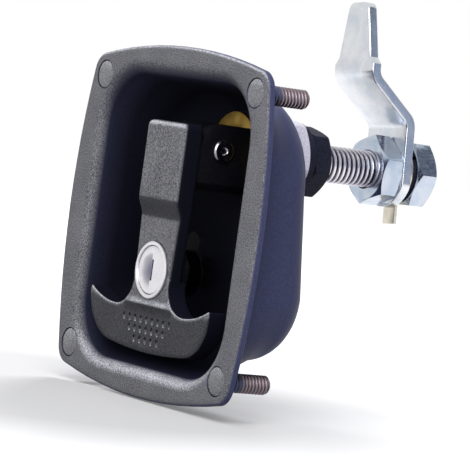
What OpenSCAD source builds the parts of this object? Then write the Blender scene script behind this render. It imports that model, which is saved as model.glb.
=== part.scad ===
// Flush folding T-handle latch for a cabinet or vehicle door.
// Frame: X to the right seen from outside, +Y into the panel, +Z up.
// The origin is the middle of the stud pattern on the flange's rear face.

/* [Flange and dish] */
// Half the flange's height and width at the middle of a side
flange_half = 58.3; // [56:0.1:64]
// Radius of the flange's bowed sides
flange_bow_r = 238; // [200:1:400]
// Radius of the flange's corners
flange_corner_r = 7; // [4:0.5:10]
// Thickness of the flange
flange_t = 2.5; // [2:0.1:4]
// Bevel round the flange's front edge
flange_bevel = 0.8; // [0.4:0.1:1.2]
// Wall of the dish
wall = 2.5; // [1.8:0.1:3]
// Width of the flange beside the dish's mouth
rim_side = 14.5; // [13:0.1:16]
// Width of the flange above and below the dish's mouth
rim_end = 10.5; // [9:0.1:12]
// Half the width of the dish's mouth
mouth_half_x = flange_half - rim_side;
// Half the height of the dish's mouth
mouth_half_z = flange_half - rim_end;
// Corner radius of the dish's mouth
mouth_corner_r = 19; // [16:0.5:21]
// Rounding where the flange turns into the dish
mouth_fillet = 2.8; // [1.5:0.1:3]
// How far the dish draws in towards its floor, at each side
draw_side = 1.8; // [0.5:0.1:4]
// How far the dish draws in towards its floor, at the top
draw_top = 2.8; // [1:0.1:5]
// How far the dish draws in towards its floor, at the bottom
draw_bottom = 9.3; // [6:0.1:12]
// Half the width of the dish at its floor, outside
dish_half_x = mouth_half_x + wall - draw_side;
// Top of the dish at its floor, outside
dish_top = mouth_half_z + wall - draw_top;
// Bottom of the dish at its floor, outside
dish_bottom = draw_bottom - mouth_half_z - wall;
// Rounding of the dish's back edge, outside
dish_edge_r = 12; // [9:0.5:14]
// Corner radius at the dish's top, outside
dish_top_r = 32; // [28:0.5:34]
// Corner radius at the dish's bottom, outside
dish_bottom_r = 23; // [20:0.5:26]
// Depth of the dish's back at its top, from the flange's rear face
dish_top_depth = 28.5; // [27.5:0.1:30]
// Depth of the dish's back at its bottom
dish_bottom_depth = 32.6; // [31.5:0.1:36]

/* [Panel studs] */
// Distance of the studs from the middle of the flange's sides
stud_inset = 12.3; // [11:0.1:13.5]
// Distance between the studs, both ways
stud_pitch = 2 * (flange_half - stud_inset);
// Diameter of a stud
stud_d = 6.35; // [5:0.05:7]
// Reach of a stud behind the flange
stud_len = 17; // [12:0.1:30]
// Diameter of a stud's flush head
stud_head_d = 9.5; // [8.6:0.1:9.6]
// Thickness of a stud's head
stud_head_t = 1.3; // [0.8:0.1:1.6]
// Step of the stud's press-fit shoulder in the flange
stud_shoulder = 0.4; // [0.3:0.1:0.8]

/* [Shaft and bearing] */
// Distance of the shaft's axis below the flange's top
shaft_drop = 32.3; // [31:0.1:34]
// Height of the shaft's axis above the middle of the studs
shaft_z = flange_half - shaft_drop;
// Diameter of the threaded shaft
shaft_d = 12.7; // [11:0.1:13.4]
// Rear end of the shaft
shaft_end = 101.2; // [100.5:0.1:110]
// Diameter of the sleeve's barrel
sleeve_d = 18; // [16.5:0.1:20]
// Diameter of the sleeve's flange
sleeve_flange_d = 27.2; // [26:0.1:28]
// Thickness of the sleeve's flange
sleeve_flange_t = 2; // [1.5:0.1:2.4]
// Width across the flats of the grey collar behind the dish
collar_af = 26.4; // [25:0.1:28]
// Length of the grey collar
collar_len = 13.4; // [8:0.1:16]
// How far the collar is let into the dish's back
collar_sink = 0.6; // [0.3:0.1:1]
// Rim of the dish's hub round the collar and the sleeve's flange
hub_rim = 0.6; // [0.4:0.1:1]
// Turn of the collar's corners about the shaft
collar_turn = 50; // [0:1:60]
// Section of the shaft seal
seal_d = 2; // [1.6:0.1:2.4]

/* [Yoke and pivot] */
// Depth of the handle's pivot behind the flange's rear face
pivot_y = 11.4; // [11:0.1:12]
// Half the height of the yoke, and the radius of its round front
yoke_r = 8.5; // [8:0.1:8.7]
// Width over the yoke's two cheeks
yoke_w = 21.6; // [20:0.1:23]
// Thickness of the yoke's foot behind the slot
yoke_foot = 3.5; // [3:0.1:4]
// Bevel on the yoke's lower corners
yoke_bevel = 2.5; // [2:0.1:4]
// Diameter of the pivot pin
pin_d = 6; // [5:0.1:7]
// Diameter of the pin's button head
pin_head_d = 7.8; // [7.5:0.1:9]
// Height of the pin's button head
pin_head_h = 1.5; // [1:0.1:2]
// Diameter of the shaft's riveted end in the yoke
tenon_d = 9; // [8:0.1:10]

/* [Handle] */
// Width of the handle's raised upper stem
stem_w = 24; // [22:0.1:25]
// Width of the stem above the tail
stem_low_w = 21.5; // [21:0.1:23]
// Height of the handle's top above the shaft's axis
stem_over = 7.5; // [6:0.1:8]
// Top of the handle
stem_top = shaft_z + stem_over;
// Length of the raised upper stem, with its slope
raised_len = 31.2; // [28:0.1:33]
// Length of the slope at its lower end
raised_slope = 4.7; // [2:0.1:6]
// Lower end of the raised upper stem
stem_step = stem_top - raised_len;
// Front face of the raised upper stem
stem_raised_y = -4.4; // [-5:0.1:-3.4]
// Front face of the lower stem and the tail
stem_y = -2.4; // [-2.8:0.1:-2]
// Thickness of the lower stem
stem_t = 5; // [4:0.1:5.1]
// Width of the lug between the yoke's cheeks
lug_w = 10; // [9:0.1:11]
// Radius of the lug about the pivot
lug_r = 7; // [6:0.1:7.4]
// Room between the tail and the mouth at each side
tail_side_room = 6.9; // [6:0.1:9]
// Half the span of the whale tail
tail_half = mouth_half_x - tail_side_room;
// Room between the tail and the mouth at the bottom
tail_end_room = 4.5; // [4:0.1:6]
// Bottom of the tail at its middle
tail_bottom_z = tail_end_room - mouth_half_z;
// Height of the tail's tips above its bottom
tail_tip_rise = 18.8; // [17:0.1:20]
// Height of the tail's tips
tail_tip_z = tail_bottom_z + tail_tip_rise;
// Height of the tail at its narrow places
tail_waist_rise = 14.3; // [13:0.1:15]
// Lowest place of the tail's hollow upper edge
tail_waist_z = tail_bottom_z + tail_waist_rise;
// Radius of the tail's lower corners
tail_corner_r = 15.5; // [10:0.5:16]
// Thickness of the tail
tail_t = 7.2; // [6:0.1:7.6]
// Backward tilt of the tail's face
tail_tilt = 4; // [0:0.5:8]
// Height of the ridge where the tail's face starts, above the tail's bottom
ridge_rise = 15.8; // [15:0.1:17]
// Height of the ridge where the tail's face starts
ridge_z = tail_bottom_z + ridge_rise;
// Distance between the grip slots in a row
grip_pitch = 3.5; // [3:0.1:3.8]
// Distance between the rows of grip slots
grip_row_pitch = 3.4; // [2.8:0.1:3.8]
// Depth of a grip slot
grip_depth = 0.6; // [0.3:0.1:1]

/* [Lock] */
// Height of the lock's axis above the tail's bottom
lock_rise = 27.5; // [26.5:0.1:28.5]
// Height of the lock's axis
lock_z = tail_bottom_z + lock_rise;
// Diameter of the lock's face
lock_face_d = 19; // [18:0.1:19.6]
// Diameter of the lock's barrel
lock_barrel_d = 15.8; // [15:0.1:16.4]
// Diameter of the plug's round cap
plug_cap_d = 16.1; // [15.4:0.1:16.4]
// Diameter of the plug
plug_d = 11; // [10:0.1:12]
// Length of the lock's barrel behind its face
lock_len = 14; // [12:0.1:15]
// Thickness of the lock's tail
tail_plate_t = 1.8; // [1.2:0.1:2.2]
// Reach of the lock's tail from its axis
tail_reach = 14; // [12:0.1:16]
// Width of the lock's tail
tail_plate_w = 8; // [7:0.1:9]
// Number of wafers in the plug
wafer_count = 5; // [3:1:5]

/* [Cam and nuts] */
// Width across the flats of the hex nuts
nut_af = 21.4; // [19:0.1:23]
// Height of the hex nuts
nut_h = 8; // [6:0.1:9.5]
// Height of the black retaining nut
retaining_nut_h = 8.1; // [7:0.1:11]
// Diameter of the black retaining washer
retaining_washer_d = 25; // [23:0.1:27]
// Thickness of the black retaining washer
retaining_washer_t = 2.6; // [1.5:0.1:3.5]
// Turn of the black nut's corners about the shaft
retaining_nut_turn = 46; // [0:1:60]
// Turn of the front nut's corners about the shaft
front_nut_turn = 21; // [0:1:60]
// Turn of the rear nut's corners about the shaft
rear_nut_turn = 2; // [0:1:60]
// Front face of the cam's mounting part
cam_y = 85.6; // [84:0.1:88]
// Thickness of the cam
cam_t = 3.6; // [3:0.1:4]
// Width of the cam
cam_w = 22.3; // [20:0.1:24]
// How far the cam's tip is offset towards the panel
cam_offset = 16.5; // [14:0.1:22]
// Height of the cam's first bend above the shaft's axis
cam_bend_rise = 16.2; // [15:0.1:20]
// Height where the cam bends forward
cam_bend_z = shaft_z + cam_bend_rise;
// Height of the cam's sloped part
cam_slope_rise = 13.8; // [13:0.1:18]
// Height where the cam bends upright again
cam_tip_bend_z = cam_bend_z + cam_slope_rise;
// Reach of the cam above the shaft's axis
cam_reach = 56.3; // [52:0.1:64]
// Top of the cam
cam_top = shaft_z + cam_reach;
// Height between the cam's second bend and its taper
cam_step_rise = 6; // [4:0.1:8]
// Height where the cam's tip starts to taper
cam_taper_z = cam_tip_bend_z + cam_step_rise;
// Width of the cam where the taper starts
cam_taper_w = 19; // [17:0.1:20]
// Width of the cam at its top
cam_tip_w = 10.8; // [9:0.1:14]
// Lean of the cam and its tab washer about the shaft at rest
cam_lean = 5; // [0:1:15]
// Thickness of the tab washer
tab_washer_t = 1.1; // [0.8:0.1:1.6]
// Width of the tab
tab_w = 6.6; // [5:0.1:8]
// Reach of the tab from the shaft's axis
tab_reach = 17.7; // [15:0.1:19]
// Thickness of the spring washer
spring_washer_t = 2; // [1.5:0.1:2.6]

/* [Clearances] */
// Radial running clearance of a turning fit
run_fit = 0.05; // [0.02:0.01:0.1]
// Side clearance between moving flat faces
side_gap = 0.1; // [0.05:0.01:0.3]
// Clearance between the stem's back and the yoke
swing_gap = 0.3; // [0.2:0.05:0.5]
// Radial clearance of parts that don't turn in their holes
seat_fit = 0.05; // [0.02:0.01:0.1]

/* [Hidden] */
$fn = 64;
eps = 0.01;
over = 1;

front_y = -flange_t;
shaft_r = shaft_d / 2;
stud_r = stud_d / 2;
pin_r = pin_d / 2;

// Places along the shaft, from the yoke back to the rear nut
yoke_rear = pivot_y + lug_r + swing_gap + yoke_foot;
sleeve_front = yoke_rear + side_gap;
hub_front = sleeve_front + sleeve_flange_t;
collar_front = dish_bottom_depth - collar_sink;
collar_rear = collar_front + collar_len;
retaining_washer_y = collar_rear + side_gap;
retaining_nut_y = retaining_washer_y + retaining_washer_t;
front_nut_y = cam_y - nut_h;
tab_washer_y = cam_y + cam_t;
spring_washer_y = tab_washer_y + tab_washer_t;
rear_nut_y = spring_washer_y + spring_washer_t;

// Points of an arc in a plane
function arc(centre, r, from, to, steps) =
    [for (i = [0 : steps]) let (a = from + (to - from) * i / steps) centre + r * [cos(a), sin(a)]];
// A right-hand outline followed by its mirror image
function both_sides(right) =
    concat(right, [for (i = [len(right) - 1 : -1 : 0]) [-right[i].x, right[i].y]]);

// A plane shape in X and Z, thick from y0 to y1
module slab(y0, y1) {
    translate([0, y1, 0]) rotate([90, 0, 0]) linear_extrude(height = y1 - y0) children();
}
// A plane shape in Y and Z, thick from x0 to x1
module prism(x0, x1) {
    translate([x0, 0, 0]) rotate([90, 0, 90]) linear_extrude(height = x1 - x0) children();
}
// A plane shape in X and Y, thick from z0 to z1
module slab_z(z0, z1) {
    translate([0, 0, z0]) linear_extrude(height = z1 - z0) children();
}
// A round bar along Y at height z
module bar(y0, y1, r, z = 0, x = 0, r2 = undef) {
    translate([x, y0, z]) rotate([-90, 0, 0])
        cylinder(h = y1 - y0, r1 = r, r2 = is_undef(r2) ? r : r2);
}
// A piece turned about an axis along Y, from points of radius and place
module turned(points, z = 0) {
    translate([0, 0, z]) rotate([-90, 0, 0]) rotate_extrude() polygon(points);
}
// A round bar along X through the pivot
module cross_bar(x0, x1, r) {
    translate([x0, pivot_y, shaft_z]) rotate([0, 90, 0]) cylinder(h = x1 - x0, r = r);
}
module at_studs() {
    for (x = [-1, 1], z = [-1, 1])
        translate([x * stud_pitch / 2, 0, z * stud_pitch / 2]) children();
}

// The flange's outline: four bowed sides and round corners, drawn in by inset
module flange_outline(inset = 0) {
    side_drop = flange_bow_r - flange_half;
    inner_r = flange_bow_r - flange_corner_r;
    corner = (sqrt(2 * pow(inner_r, 2) - pow(side_drop, 2)) - side_drop) / 2;
    meet = atan2(corner + side_drop, corner);
    quarter = concat(
        arc([0, -side_drop], flange_bow_r - inset, 180 - meet, meet, 24),
        arc([corner, corner], flange_corner_r - inset, meet, 90 - meet, 8));
    polygon([for (k = [0 : 3], p = quarter)
        [p.x * cos(90 * k) + p.y * sin(90 * k), p.y * cos(90 * k) - p.x * sin(90 * k)]]);
}
// The mouth's outline, grown on all sides
module mouth_outline(grow = 0) {
    x = mouth_half_x - mouth_corner_r;
    z = mouth_half_z - mouth_corner_r;
    r = mouth_corner_r + grow;
    square([2 * x, 2 * (z + r)], center = true);
    square([2 * (x + r), 2 * z], center = true);
    for (sx = [-1, 1], sz = [-1, 1]) translate([sx * x, sz * z]) circle(r = r);
}
// A disc with a round back edge, one corner of the dish's floor
module floor_corner(r, edge_r, depth) {
    rotate([-90, 0, 0]) rotate_extrude($fn = 48) {
        square([r - edge_r, depth]);
        translate([r - edge_r, depth - edge_r]) intersection() {
            circle(r = edge_r, $fn = 48);
            square([edge_r, edge_r]);
        }
    }
}
// The dish as one rounded body from the mouth to the floor, drawn in by inset
module dish(inset, front) {
    start = dish_top_depth - dish_edge_r;
    hull() {
        slab(front, eps) mouth_outline(wall - inset);
        for (sx = [-1, 1]) {
            translate([sx * (dish_half_x - dish_top_r), start, dish_top - dish_top_r])
                floor_corner(dish_top_r - inset, dish_edge_r - inset, dish_top_depth - start - inset);
            translate([sx * (dish_half_x - dish_bottom_r), start, dish_bottom + dish_bottom_r])
                floor_corner(dish_bottom_r - inset, dish_edge_r - inset,
                             dish_bottom_depth - start - inset);
        }
    }
}

module pan() {
    color("#3b3d42") difference() {
        union() {
            slab(front_y + flange_bevel, 0) flange_outline();
            hull() {
                slab(front_y, front_y + eps) flange_outline(flange_bevel);
                slab(front_y + flange_bevel, front_y + flange_bevel + eps) flange_outline();
            }
            dish(0, -eps);
            bar(hub_front, collar_front, collar_af / sqrt(3) + hub_rim, shaft_z);
        }
        difference() {
            dish(wall, front_y - over);
            bar(hub_front, dish_bottom_depth, sleeve_flange_d / 2 + hub_rim, shaft_z);
        }
        // The mouth's rounded lip in two bevels
        lip = mouth_fillet * 0.3;
        hull() {
            slab(front_y - eps, front_y) mouth_outline(mouth_fillet);
            slab(front_y + lip, front_y + lip + eps) mouth_outline(lip);
        }
        hull() {
            slab(front_y + lip, front_y + lip + eps) mouth_outline(lip);
            slab(front_y + mouth_fillet, front_y + mouth_fillet + eps) mouth_outline();
        }
        bar(hub_front - over, collar_front + over, sleeve_d / 2 + seat_fit, shaft_z);
        at_studs() {
            bar(front_y - over, front_y + stud_head_t, stud_head_d / 2 + 2 * seat_fit);
            bar(front_y - over, over, stud_r + stud_shoulder + seat_fit);
        }
        at_keeper_rivets() bar(keeper_floor - over, dish_bottom_depth + over, rivet_r + seat_fit);
    }
}
module panel_studs() {
    tip = 0.7;
    head_y = front_y + stud_head_t;
    color("#b9b3b4") at_studs() turned([[0, front_y], [stud_head_d / 2, front_y], [stud_head_d / 2, head_y],
        [stud_r + stud_shoulder, head_y], [stud_r + stud_shoulder, 0], [stud_r, 0],
        [stud_r, stud_len - tip], [stud_r - tip, stud_len], [0, stud_len]]);
}

// The seal sits in a groove near the sleeve's rear end
seal_y = collar_rear - 2.5 * seal_d;
module bearing_sleeve() {
    color("#c9a545") difference() {
        union() {
            bar(sleeve_front, hub_front, sleeve_flange_d / 2, shaft_z);
            bar(sleeve_front, collar_rear, sleeve_d / 2, shaft_z);
        }
        bar(sleeve_front - over, collar_rear + over, shaft_r + run_fit, shaft_z);
        bar(seal_y - seat_fit, seal_y + seal_d + seat_fit, shaft_r + run_fit + seal_d + seat_fit, shaft_z);
    }
}
module spacer_collar() {
    color("#b9b7bb") hex_nut(collar_front, collar_len, collar_turn, collar_af, sleeve_d / 2);
}
module shaft_seal() {
    color("#1c1c1e") translate([0, seal_y + seal_d / 2, shaft_z]) rotate([-90, 0, 0])
        rotate_extrude() translate([shaft_r + run_fit + seal_d / 2, 0]) circle(d = seal_d, $fn = 24);
}

// The keeper stands on the dish's floor and hooks over the lock's tail
rivet_r = 1.6;
rivet_head_r = 2.8;
rivet_head_t = 1.1;
keeper_t = 2.2;
keeper_side = 1;
keeper_room = 1.2;
keeper_foot = 14;
rivet_start = 5;
rivet_pitch = 6;
keeper_half_z = tail_plate_w / 2 + keeper_side;
keeper_floor = dish_bottom_depth - wall;
keeper_post_x = tail_reach + keeper_room;
keeper_lip_x = lock_barrel_d / 2 + keeper_room;
keeper_foot_x = keeper_post_x + keeper_foot;
plug_rear = stem_y + lock_len;
plug_proud = 0.3;
tail_plate_y = plug_rear + plug_proud + side_gap;
keeper_lip_y = tail_plate_y - swing_gap - keeper_t;
module at_keeper_rivets() {
    for (i = [0, 1]) translate([-(keeper_post_x + rivet_start + rivet_pitch * i), 0, lock_z]) children();
}
module lock_keeper() {
    color("#26272a") difference() {
        slab_z(lock_z - keeper_half_z, lock_z + keeper_half_z) polygon([
            [-keeper_lip_x, keeper_lip_y], [-keeper_lip_x, keeper_lip_y + keeper_t],
            [-keeper_post_x, keeper_lip_y + keeper_t], [-keeper_post_x, keeper_floor],
            [-keeper_foot_x, keeper_floor], [-keeper_foot_x, keeper_floor - keeper_t],
            [-keeper_post_x - keeper_t, keeper_floor - keeper_t],
            [-keeper_post_x - keeper_t, keeper_lip_y]]);
        at_keeper_rivets() bar(keeper_floor - keeper_t - over, keeper_floor + over, rivet_r + seat_fit);
    }
}
module keeper_rivets() {
    flat_r = rivet_head_r - 0.6;
    front = keeper_floor - keeper_t;
    rear = dish_bottom_depth;
    color("#9a9a9d") at_keeper_rivets() turned([[0, front - rivet_head_t], [flat_r, front - rivet_head_t],
        [rivet_head_r, front], [rivet_r, front], [rivet_r, rear], [rivet_head_r, rear],
        [flat_r, rear + rivet_head_t], [0, rear + rivet_head_t]]);
}

// The washers fill the room between the lug and the cheeks
washer_t = 0.5;
slot_half = lug_w / 2 + washer_t + 2 * side_gap;
module yoke() {
    color("#2a2b2e") difference() {
        union() {
            cross_bar(-yoke_w / 2, yoke_w / 2, yoke_r);
            translate([-yoke_w / 2, pivot_y, shaft_z - yoke_r])
                cube([yoke_w, yoke_rear - pivot_y, 2 * yoke_r]);
            // The block below the pivot covers the sleeve's flange
            slab(pivot_y - yoke_r, yoke_rear) polygon(both_sides([[yoke_w / 2, shaft_z],
                [yoke_w / 2, shaft_z - sleeve_flange_d / 2 + yoke_bevel],
                [yoke_w / 2 - yoke_bevel, shaft_z - sleeve_flange_d / 2]]));
        }
        translate([-slot_half, pivot_y - yoke_r - over, shaft_z - yoke_r - over])
            cube([2 * slot_half, yoke_rear - yoke_foot - pivot_y + yoke_r + over, 2 * (yoke_r + over)]);
        cross_bar(-yoke_w, yoke_w, pin_r + seat_fit);
        bar(yoke_rear - yoke_foot - over, yoke_rear + over, tenon_d / 2 + seat_fit, shaft_z);
    }
}
module shaft() {
    tip = 1;
    tenon_y = yoke_rear - yoke_foot;
    color("#a9a7a8") turned([[0, tenon_y], [tenon_d / 2, tenon_y], [tenon_d / 2, yoke_rear],
        [shaft_r, yoke_rear], [shaft_r, shaft_end - tip], [shaft_r - tip, shaft_end], [0, shaft_end]], shaft_z);
}
clip_t = 0.8;
clip_gap = 0.1;
groove_r = pin_r - 0.6;
pin_tail = yoke_w / 2 + clip_gap + clip_t + 1.3;
module pivot_pin() {
    dimple_r = 1.1;
    color("#c4c4c6") difference() {
        union() {
            cross_bar(-pin_tail, yoke_w / 2 + pin_head_h / 2, pin_r);
            cross_bar(yoke_w / 2, yoke_w / 2 + pin_head_h, pin_head_d / 2);
        }
        translate([-yoke_w / 2 - clip_gap - clip_t - clip_gap, pivot_y, shaft_z]) rotate([0, 90, 0])
            difference() {
                cylinder(h = clip_t + 2 * clip_gap, r = pin_r + over);
                translate([0, 0, -over]) cylinder(h = clip_t + 2 * over, r = groove_r);
            }
        cross_bar(yoke_w / 2 + pin_head_h - 0.5, yoke_w / 2 + pin_head_h + over, dimple_r);
    }
}
module pivot_clip() {
    color("#77797d") translate([-yoke_w / 2 - clip_gap - clip_t, pivot_y, shaft_z]) rotate([0, 90, 0])
        difference() {
            cylinder(h = clip_t, r = pin_r + 1.7);
            translate([0, 0, -over]) cylinder(h = clip_t + 2 * over, r = groove_r + seat_fit);
            translate([0, -groove_r * 0.7, -over]) cube([2 * pin_d, 1.4 * groove_r, clip_t + 2 * over]);
        }
}
module friction_washers() {
    start = lug_w / 2 + side_gap;
    color("#d8d2c0") difference() {
        for (s = [-1, 1]) cross_bar(s > 0 ? start : -start - washer_t, s > 0 ? start + washer_t : -start,
                                    lug_r - 0.4);
        cross_bar(-yoke_w, yoke_w, pin_r + seat_fit);
    }
}

// A hex nut from y0, chamfered at both ends, with its corners turned about the shaft
nut_face_in = 0.4;
module hex_nut(y0, height, turn, af = nut_af, bore_r = shaft_r) {
    corner_r = af / sqrt(3);
    face_r = af / 2 - nut_face_in;
    drop = (corner_r - af / 2) * 0.75;
    translate([0, y0, shaft_z]) rotate([-90, -turn, 0]) difference() {
        intersection() {
            cylinder(h = height, r = corner_r, $fn = 6);
            rotate_extrude() polygon([[0, 0], [face_r, 0], [corner_r, drop],
                [corner_r, height - drop], [face_r, height], [0, height]]);
        }
        translate([0, 0, -over]) cylinder(h = height + 2 * over, r = bore_r + seat_fit);
    }
}
module retaining_washer() {
    color("#202124") difference() {
        bar(retaining_washer_y, retaining_nut_y, retaining_washer_d / 2, shaft_z);
        bar(retaining_washer_y - over, retaining_nut_y + over, shaft_r + seat_fit, shaft_z);
    }
}
module retaining_nut() {
    color("#202124") hex_nut(retaining_nut_y, retaining_nut_h, retaining_nut_turn);
}
module front_nut() {
    color("#c3cbd8") hex_nut(front_nut_y, nut_h, front_nut_turn);
}
module rear_nut() {
    color("#c3cbd8") hex_nut(rear_nut_y, nut_h, rear_nut_turn);
}

// Turns about the shaft's axis, with the top towards -X
module about_shaft(turn) {
    translate([0, 0, shaft_z]) rotate([0, -turn, 0]) translate([0, 0, -shaft_z]) children();
}
// The cam seen from the front: a round foot, a straight strip and a tapered tip
module cam_outline() {
    foot_r = cam_w / 2 + 1.1;
    tip_r = 2.4;
    intersection() {
        translate([0, shaft_z]) circle(r = foot_r);
        square([cam_w, 2 * cam_top], center = true);
    }
    translate([-cam_w / 2, shaft_z]) square([cam_w, cam_taper_z - shaft_z]);
    polygon(both_sides(concat([[cam_taper_w / 2, cam_taper_z - eps]],
        arc([cam_tip_w / 2 - tip_r, cam_top - tip_r], tip_r, 12, 90, 6))));
}
// The cam seen from the side: one strip with two bends
module cam_side() {
    bend = atan2(cam_offset, cam_tip_bend_z - cam_bend_z);
    mitre = cam_t * [1, tan(bend / 2)];
    tip_y = cam_y - cam_offset;
    polygon([[cam_y, 0], [cam_y, cam_bend_z], [tip_y, cam_tip_bend_z], [tip_y, cam_top + over],
        [tip_y + cam_t, cam_top + over], [tip_y, cam_tip_bend_z] + mitre, [cam_y, cam_bend_z] + mitre,
        [cam_y + cam_t, 0]]);
}
module cam() {
    color("#c7c5c4") about_shaft(cam_lean) difference() {
        intersection() {
            prism(-cam_w, cam_w) cam_side();
            slab(0, cam_y + 2 * cam_t) cam_outline();
        }
        bar(cam_y - over, cam_y + cam_t + over, shaft_r + seat_fit, shaft_z);
    }
}
module tab_washer() {
    ring_r = nut_af / 2 - 0.2;
    color("#d9d2c4") about_shaft(cam_lean) difference() {
        union() {
            bar(tab_washer_y, spring_washer_y, ring_r, shaft_z);
            translate([-tab_w / 2, tab_washer_y, shaft_z - tab_reach])
                cube([tab_w, tab_washer_t, tab_reach]);
        }
        bar(tab_washer_y - over, spring_washer_y + over, shaft_r + seat_fit, shaft_z);
    }
}
module spring_washer() {
    split = 1.2;
    color("#2b2c2f") difference() {
        bar(spring_washer_y, rear_nut_y, nut_af / 2 - 1, shaft_z);
        bar(spring_washer_y - over, rear_nut_y + over, shaft_r + seat_fit, shaft_z);
        translate([0, spring_washer_y - over, shaft_z]) rotate([0, -35, 0])
            cube([nut_af, spring_washer_t + 2 * over, split]);
    }
}

// The handle seen from the front, right-hand half of the whale tail
tip_r = 1.6;
bottom_r = 193;
waist_in = 16.4;
waist_x = tail_half - waist_in;
tail_join_rise = 22.8;
tail_join_z = tail_bottom_z + tail_join_rise;
module tail_outline() {
    drop = tail_join_z - tail_waist_z;
    run_in = waist_x - stem_low_w / 2;
    run_out = tail_half - waist_x;
    rise = tail_tip_z - tail_waist_z;
    in_r = (run_in * run_in + drop * drop) / (2 * drop);
    out_r = (run_out * run_out + rise * rise) / (2 * rise);
    corner_x = tail_half - tail_corner_r;
    bottom_z = tail_bottom_z + bottom_r;
    corner_z = bottom_z - sqrt(pow(bottom_r - tail_corner_r, 2) - corner_x * corner_x);
    tip_z = max(tail_tip_z - tip_r, corner_z);
    low = atan2(corner_z - bottom_z, corner_x);
    out_end = -90 + asin((run_out - 0.4) / out_r);
    polygon(both_sides(concat(
        [[0, tail_join_z + over], [stem_low_w / 2, tail_join_z + over]],
        arc([waist_x, tail_waist_z + in_r], in_r, 180 + asin((in_r - drop) / in_r), 270, 10),
        arc([waist_x, tail_waist_z + out_r], out_r, -90, out_end, 10),
        arc([tail_half - tip_r, tip_z], tip_r, 40, 0, 4),
        arc([corner_x, corner_z], tail_corner_r, 0, low, 12),
        arc([0, bottom_z], bottom_r, low, -90, 8))));
}
module stem_outline() {
    polygon(both_sides([[stem_w / 2, stem_step + over], [stem_w / 2, stem_step],
        [stem_low_w / 2, tail_join_z], [stem_low_w / 2, tail_waist_z]]));
}
// The raised upper stem, with its top corners rounded, drawn in by inset and with its lower end raised
module raised_outline(inset, rise) {
    r = 3;
    polygon(both_sides(concat([[stem_w / 2 - inset, stem_step + rise]],
        arc([stem_w / 2 - inset - r, stem_top - inset - r], r, 0, 90, 8))));
}
lock_head_t = 2.4;
lock_proud = 0.9;
lock_head_rear = stem_y - lock_proud + lock_head_t;
stem_rear = pivot_y - yoke_r - swing_gap;
lock_nut_t = 3;
lock_nut_r = lock_barrel_d / 2 + 2.4;
module t_handle() {
    bevel = 1.4;
    // What is left of the slope where the bevel ends
    low_share = (stem_y - stem_raised_y - bevel) / (stem_y - stem_raised_y);
    row_counts = [9, 7, 5];
    slot_w = 1.1;
    slot_h = 2.2;
    color("#55575c") difference() {
        union() {
            slab(stem_y, stem_rear) stem_outline();
            hull() {
                slab(stem_raised_y, stem_raised_y + eps) raised_outline(bevel, raised_slope);
                slab(stem_raised_y + bevel, stem_y) raised_outline(0, raised_slope * low_share);
                slab(stem_y, stem_rear) raised_outline(0, 0);
            }
            slab(stem_y, stem_y + tail_t) tail_outline();
            prism(-lug_w / 2, lug_w / 2) {
                translate([pivot_y, shaft_z]) circle(r = lug_r);
                translate([stem_rear - over, shaft_z - lug_r]) square([pivot_y - stem_rear + over, 2 * lug_r]);
            }
        }
        cross_bar(-lug_w, lug_w, pin_r + run_fit);
        // The tail's face falls back below the ridge
        translate([-2 * tail_half, stem_y, ridge_z]) rotate([-tail_tilt, 0, 0])
            translate([0, -2 * tail_t, -2 * tail_half]) cube([4 * tail_half, 2 * tail_t, 2 * tail_half]);
        for (row = [0 : len(row_counts) - 1], i = [0 : row_counts[row] - 1]) {
            fall = 5 + row * grip_row_pitch;
            translate([(i - (row_counts[row] - 1) / 2) * grip_pitch - slot_w / 2, stem_y - over,
                       ridge_z - fall - slot_h / 2])
                cube([slot_w, over + fall * tan(tail_tilt) + grip_depth, slot_h]);
        }
        bar(stem_y - over, lock_head_rear, lock_face_d / 2 + seat_fit, lock_z);
        bar(stem_y - over, stem_y + 2 * tail_t, lock_barrel_d / 2 + seat_fit, lock_z);
        // Room for the lock's nut in the tail's thick back
        bar(stem_rear, stem_y + 2 * tail_t, lock_nut_r + swing_gap, lock_z);
    }
}

// The lock, from its rim back to the tail's screw
rim_y = stem_y - lock_proud;
cap_seat = rim_y + 1.6;
cap_front = rim_y + 0.4;
module lock_housing() {
    color("#d9dadd") difference() {
        union() {
            bar(rim_y, lock_head_rear, lock_face_d / 2, lock_z);
            bar(rim_y, plug_rear, lock_barrel_d / 2, lock_z);
        }
        bar(rim_y - over, cap_seat, plug_cap_d / 2 + run_fit, lock_z);
        bar(rim_y - over, plug_rear + over, plug_d / 2 + run_fit, lock_z);
    }
}
module lock_nut() {
    color("#9fa1a5") difference() {
        translate([0, stem_rear, lock_z]) rotate([-90, 30, 0]) cylinder(h = lock_nut_t, r = lock_nut_r, $fn = 8);
        bar(stem_rear - over, stem_rear + lock_nut_t + over, lock_barrel_d / 2 + seat_fit, lock_z);
    }
}
wafer_t = 1.2;
wafer_pitch = 1.8;
wafer_w = 7;
wafer_h = 8;
wafer_start = cap_seat + 1.6;
key_w = 2;
key_h = 7;
key_end = wafer_start + wafer_count * wafer_pitch + 0.2;
tenon = 6;
screw_r = 1.5;
module at_wafers() {
    for (i = [0 : wafer_count - 1]) translate([0, wafer_start + i * wafer_pitch, lock_z]) children();
}
module key_way(y0, y1, grow) {
    translate([-key_w / 2 - grow, y0, lock_z - key_h / 2 - grow])
        cube([key_w + 2 * grow, y1 - y0, key_h + 2 * grow]);
}
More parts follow.
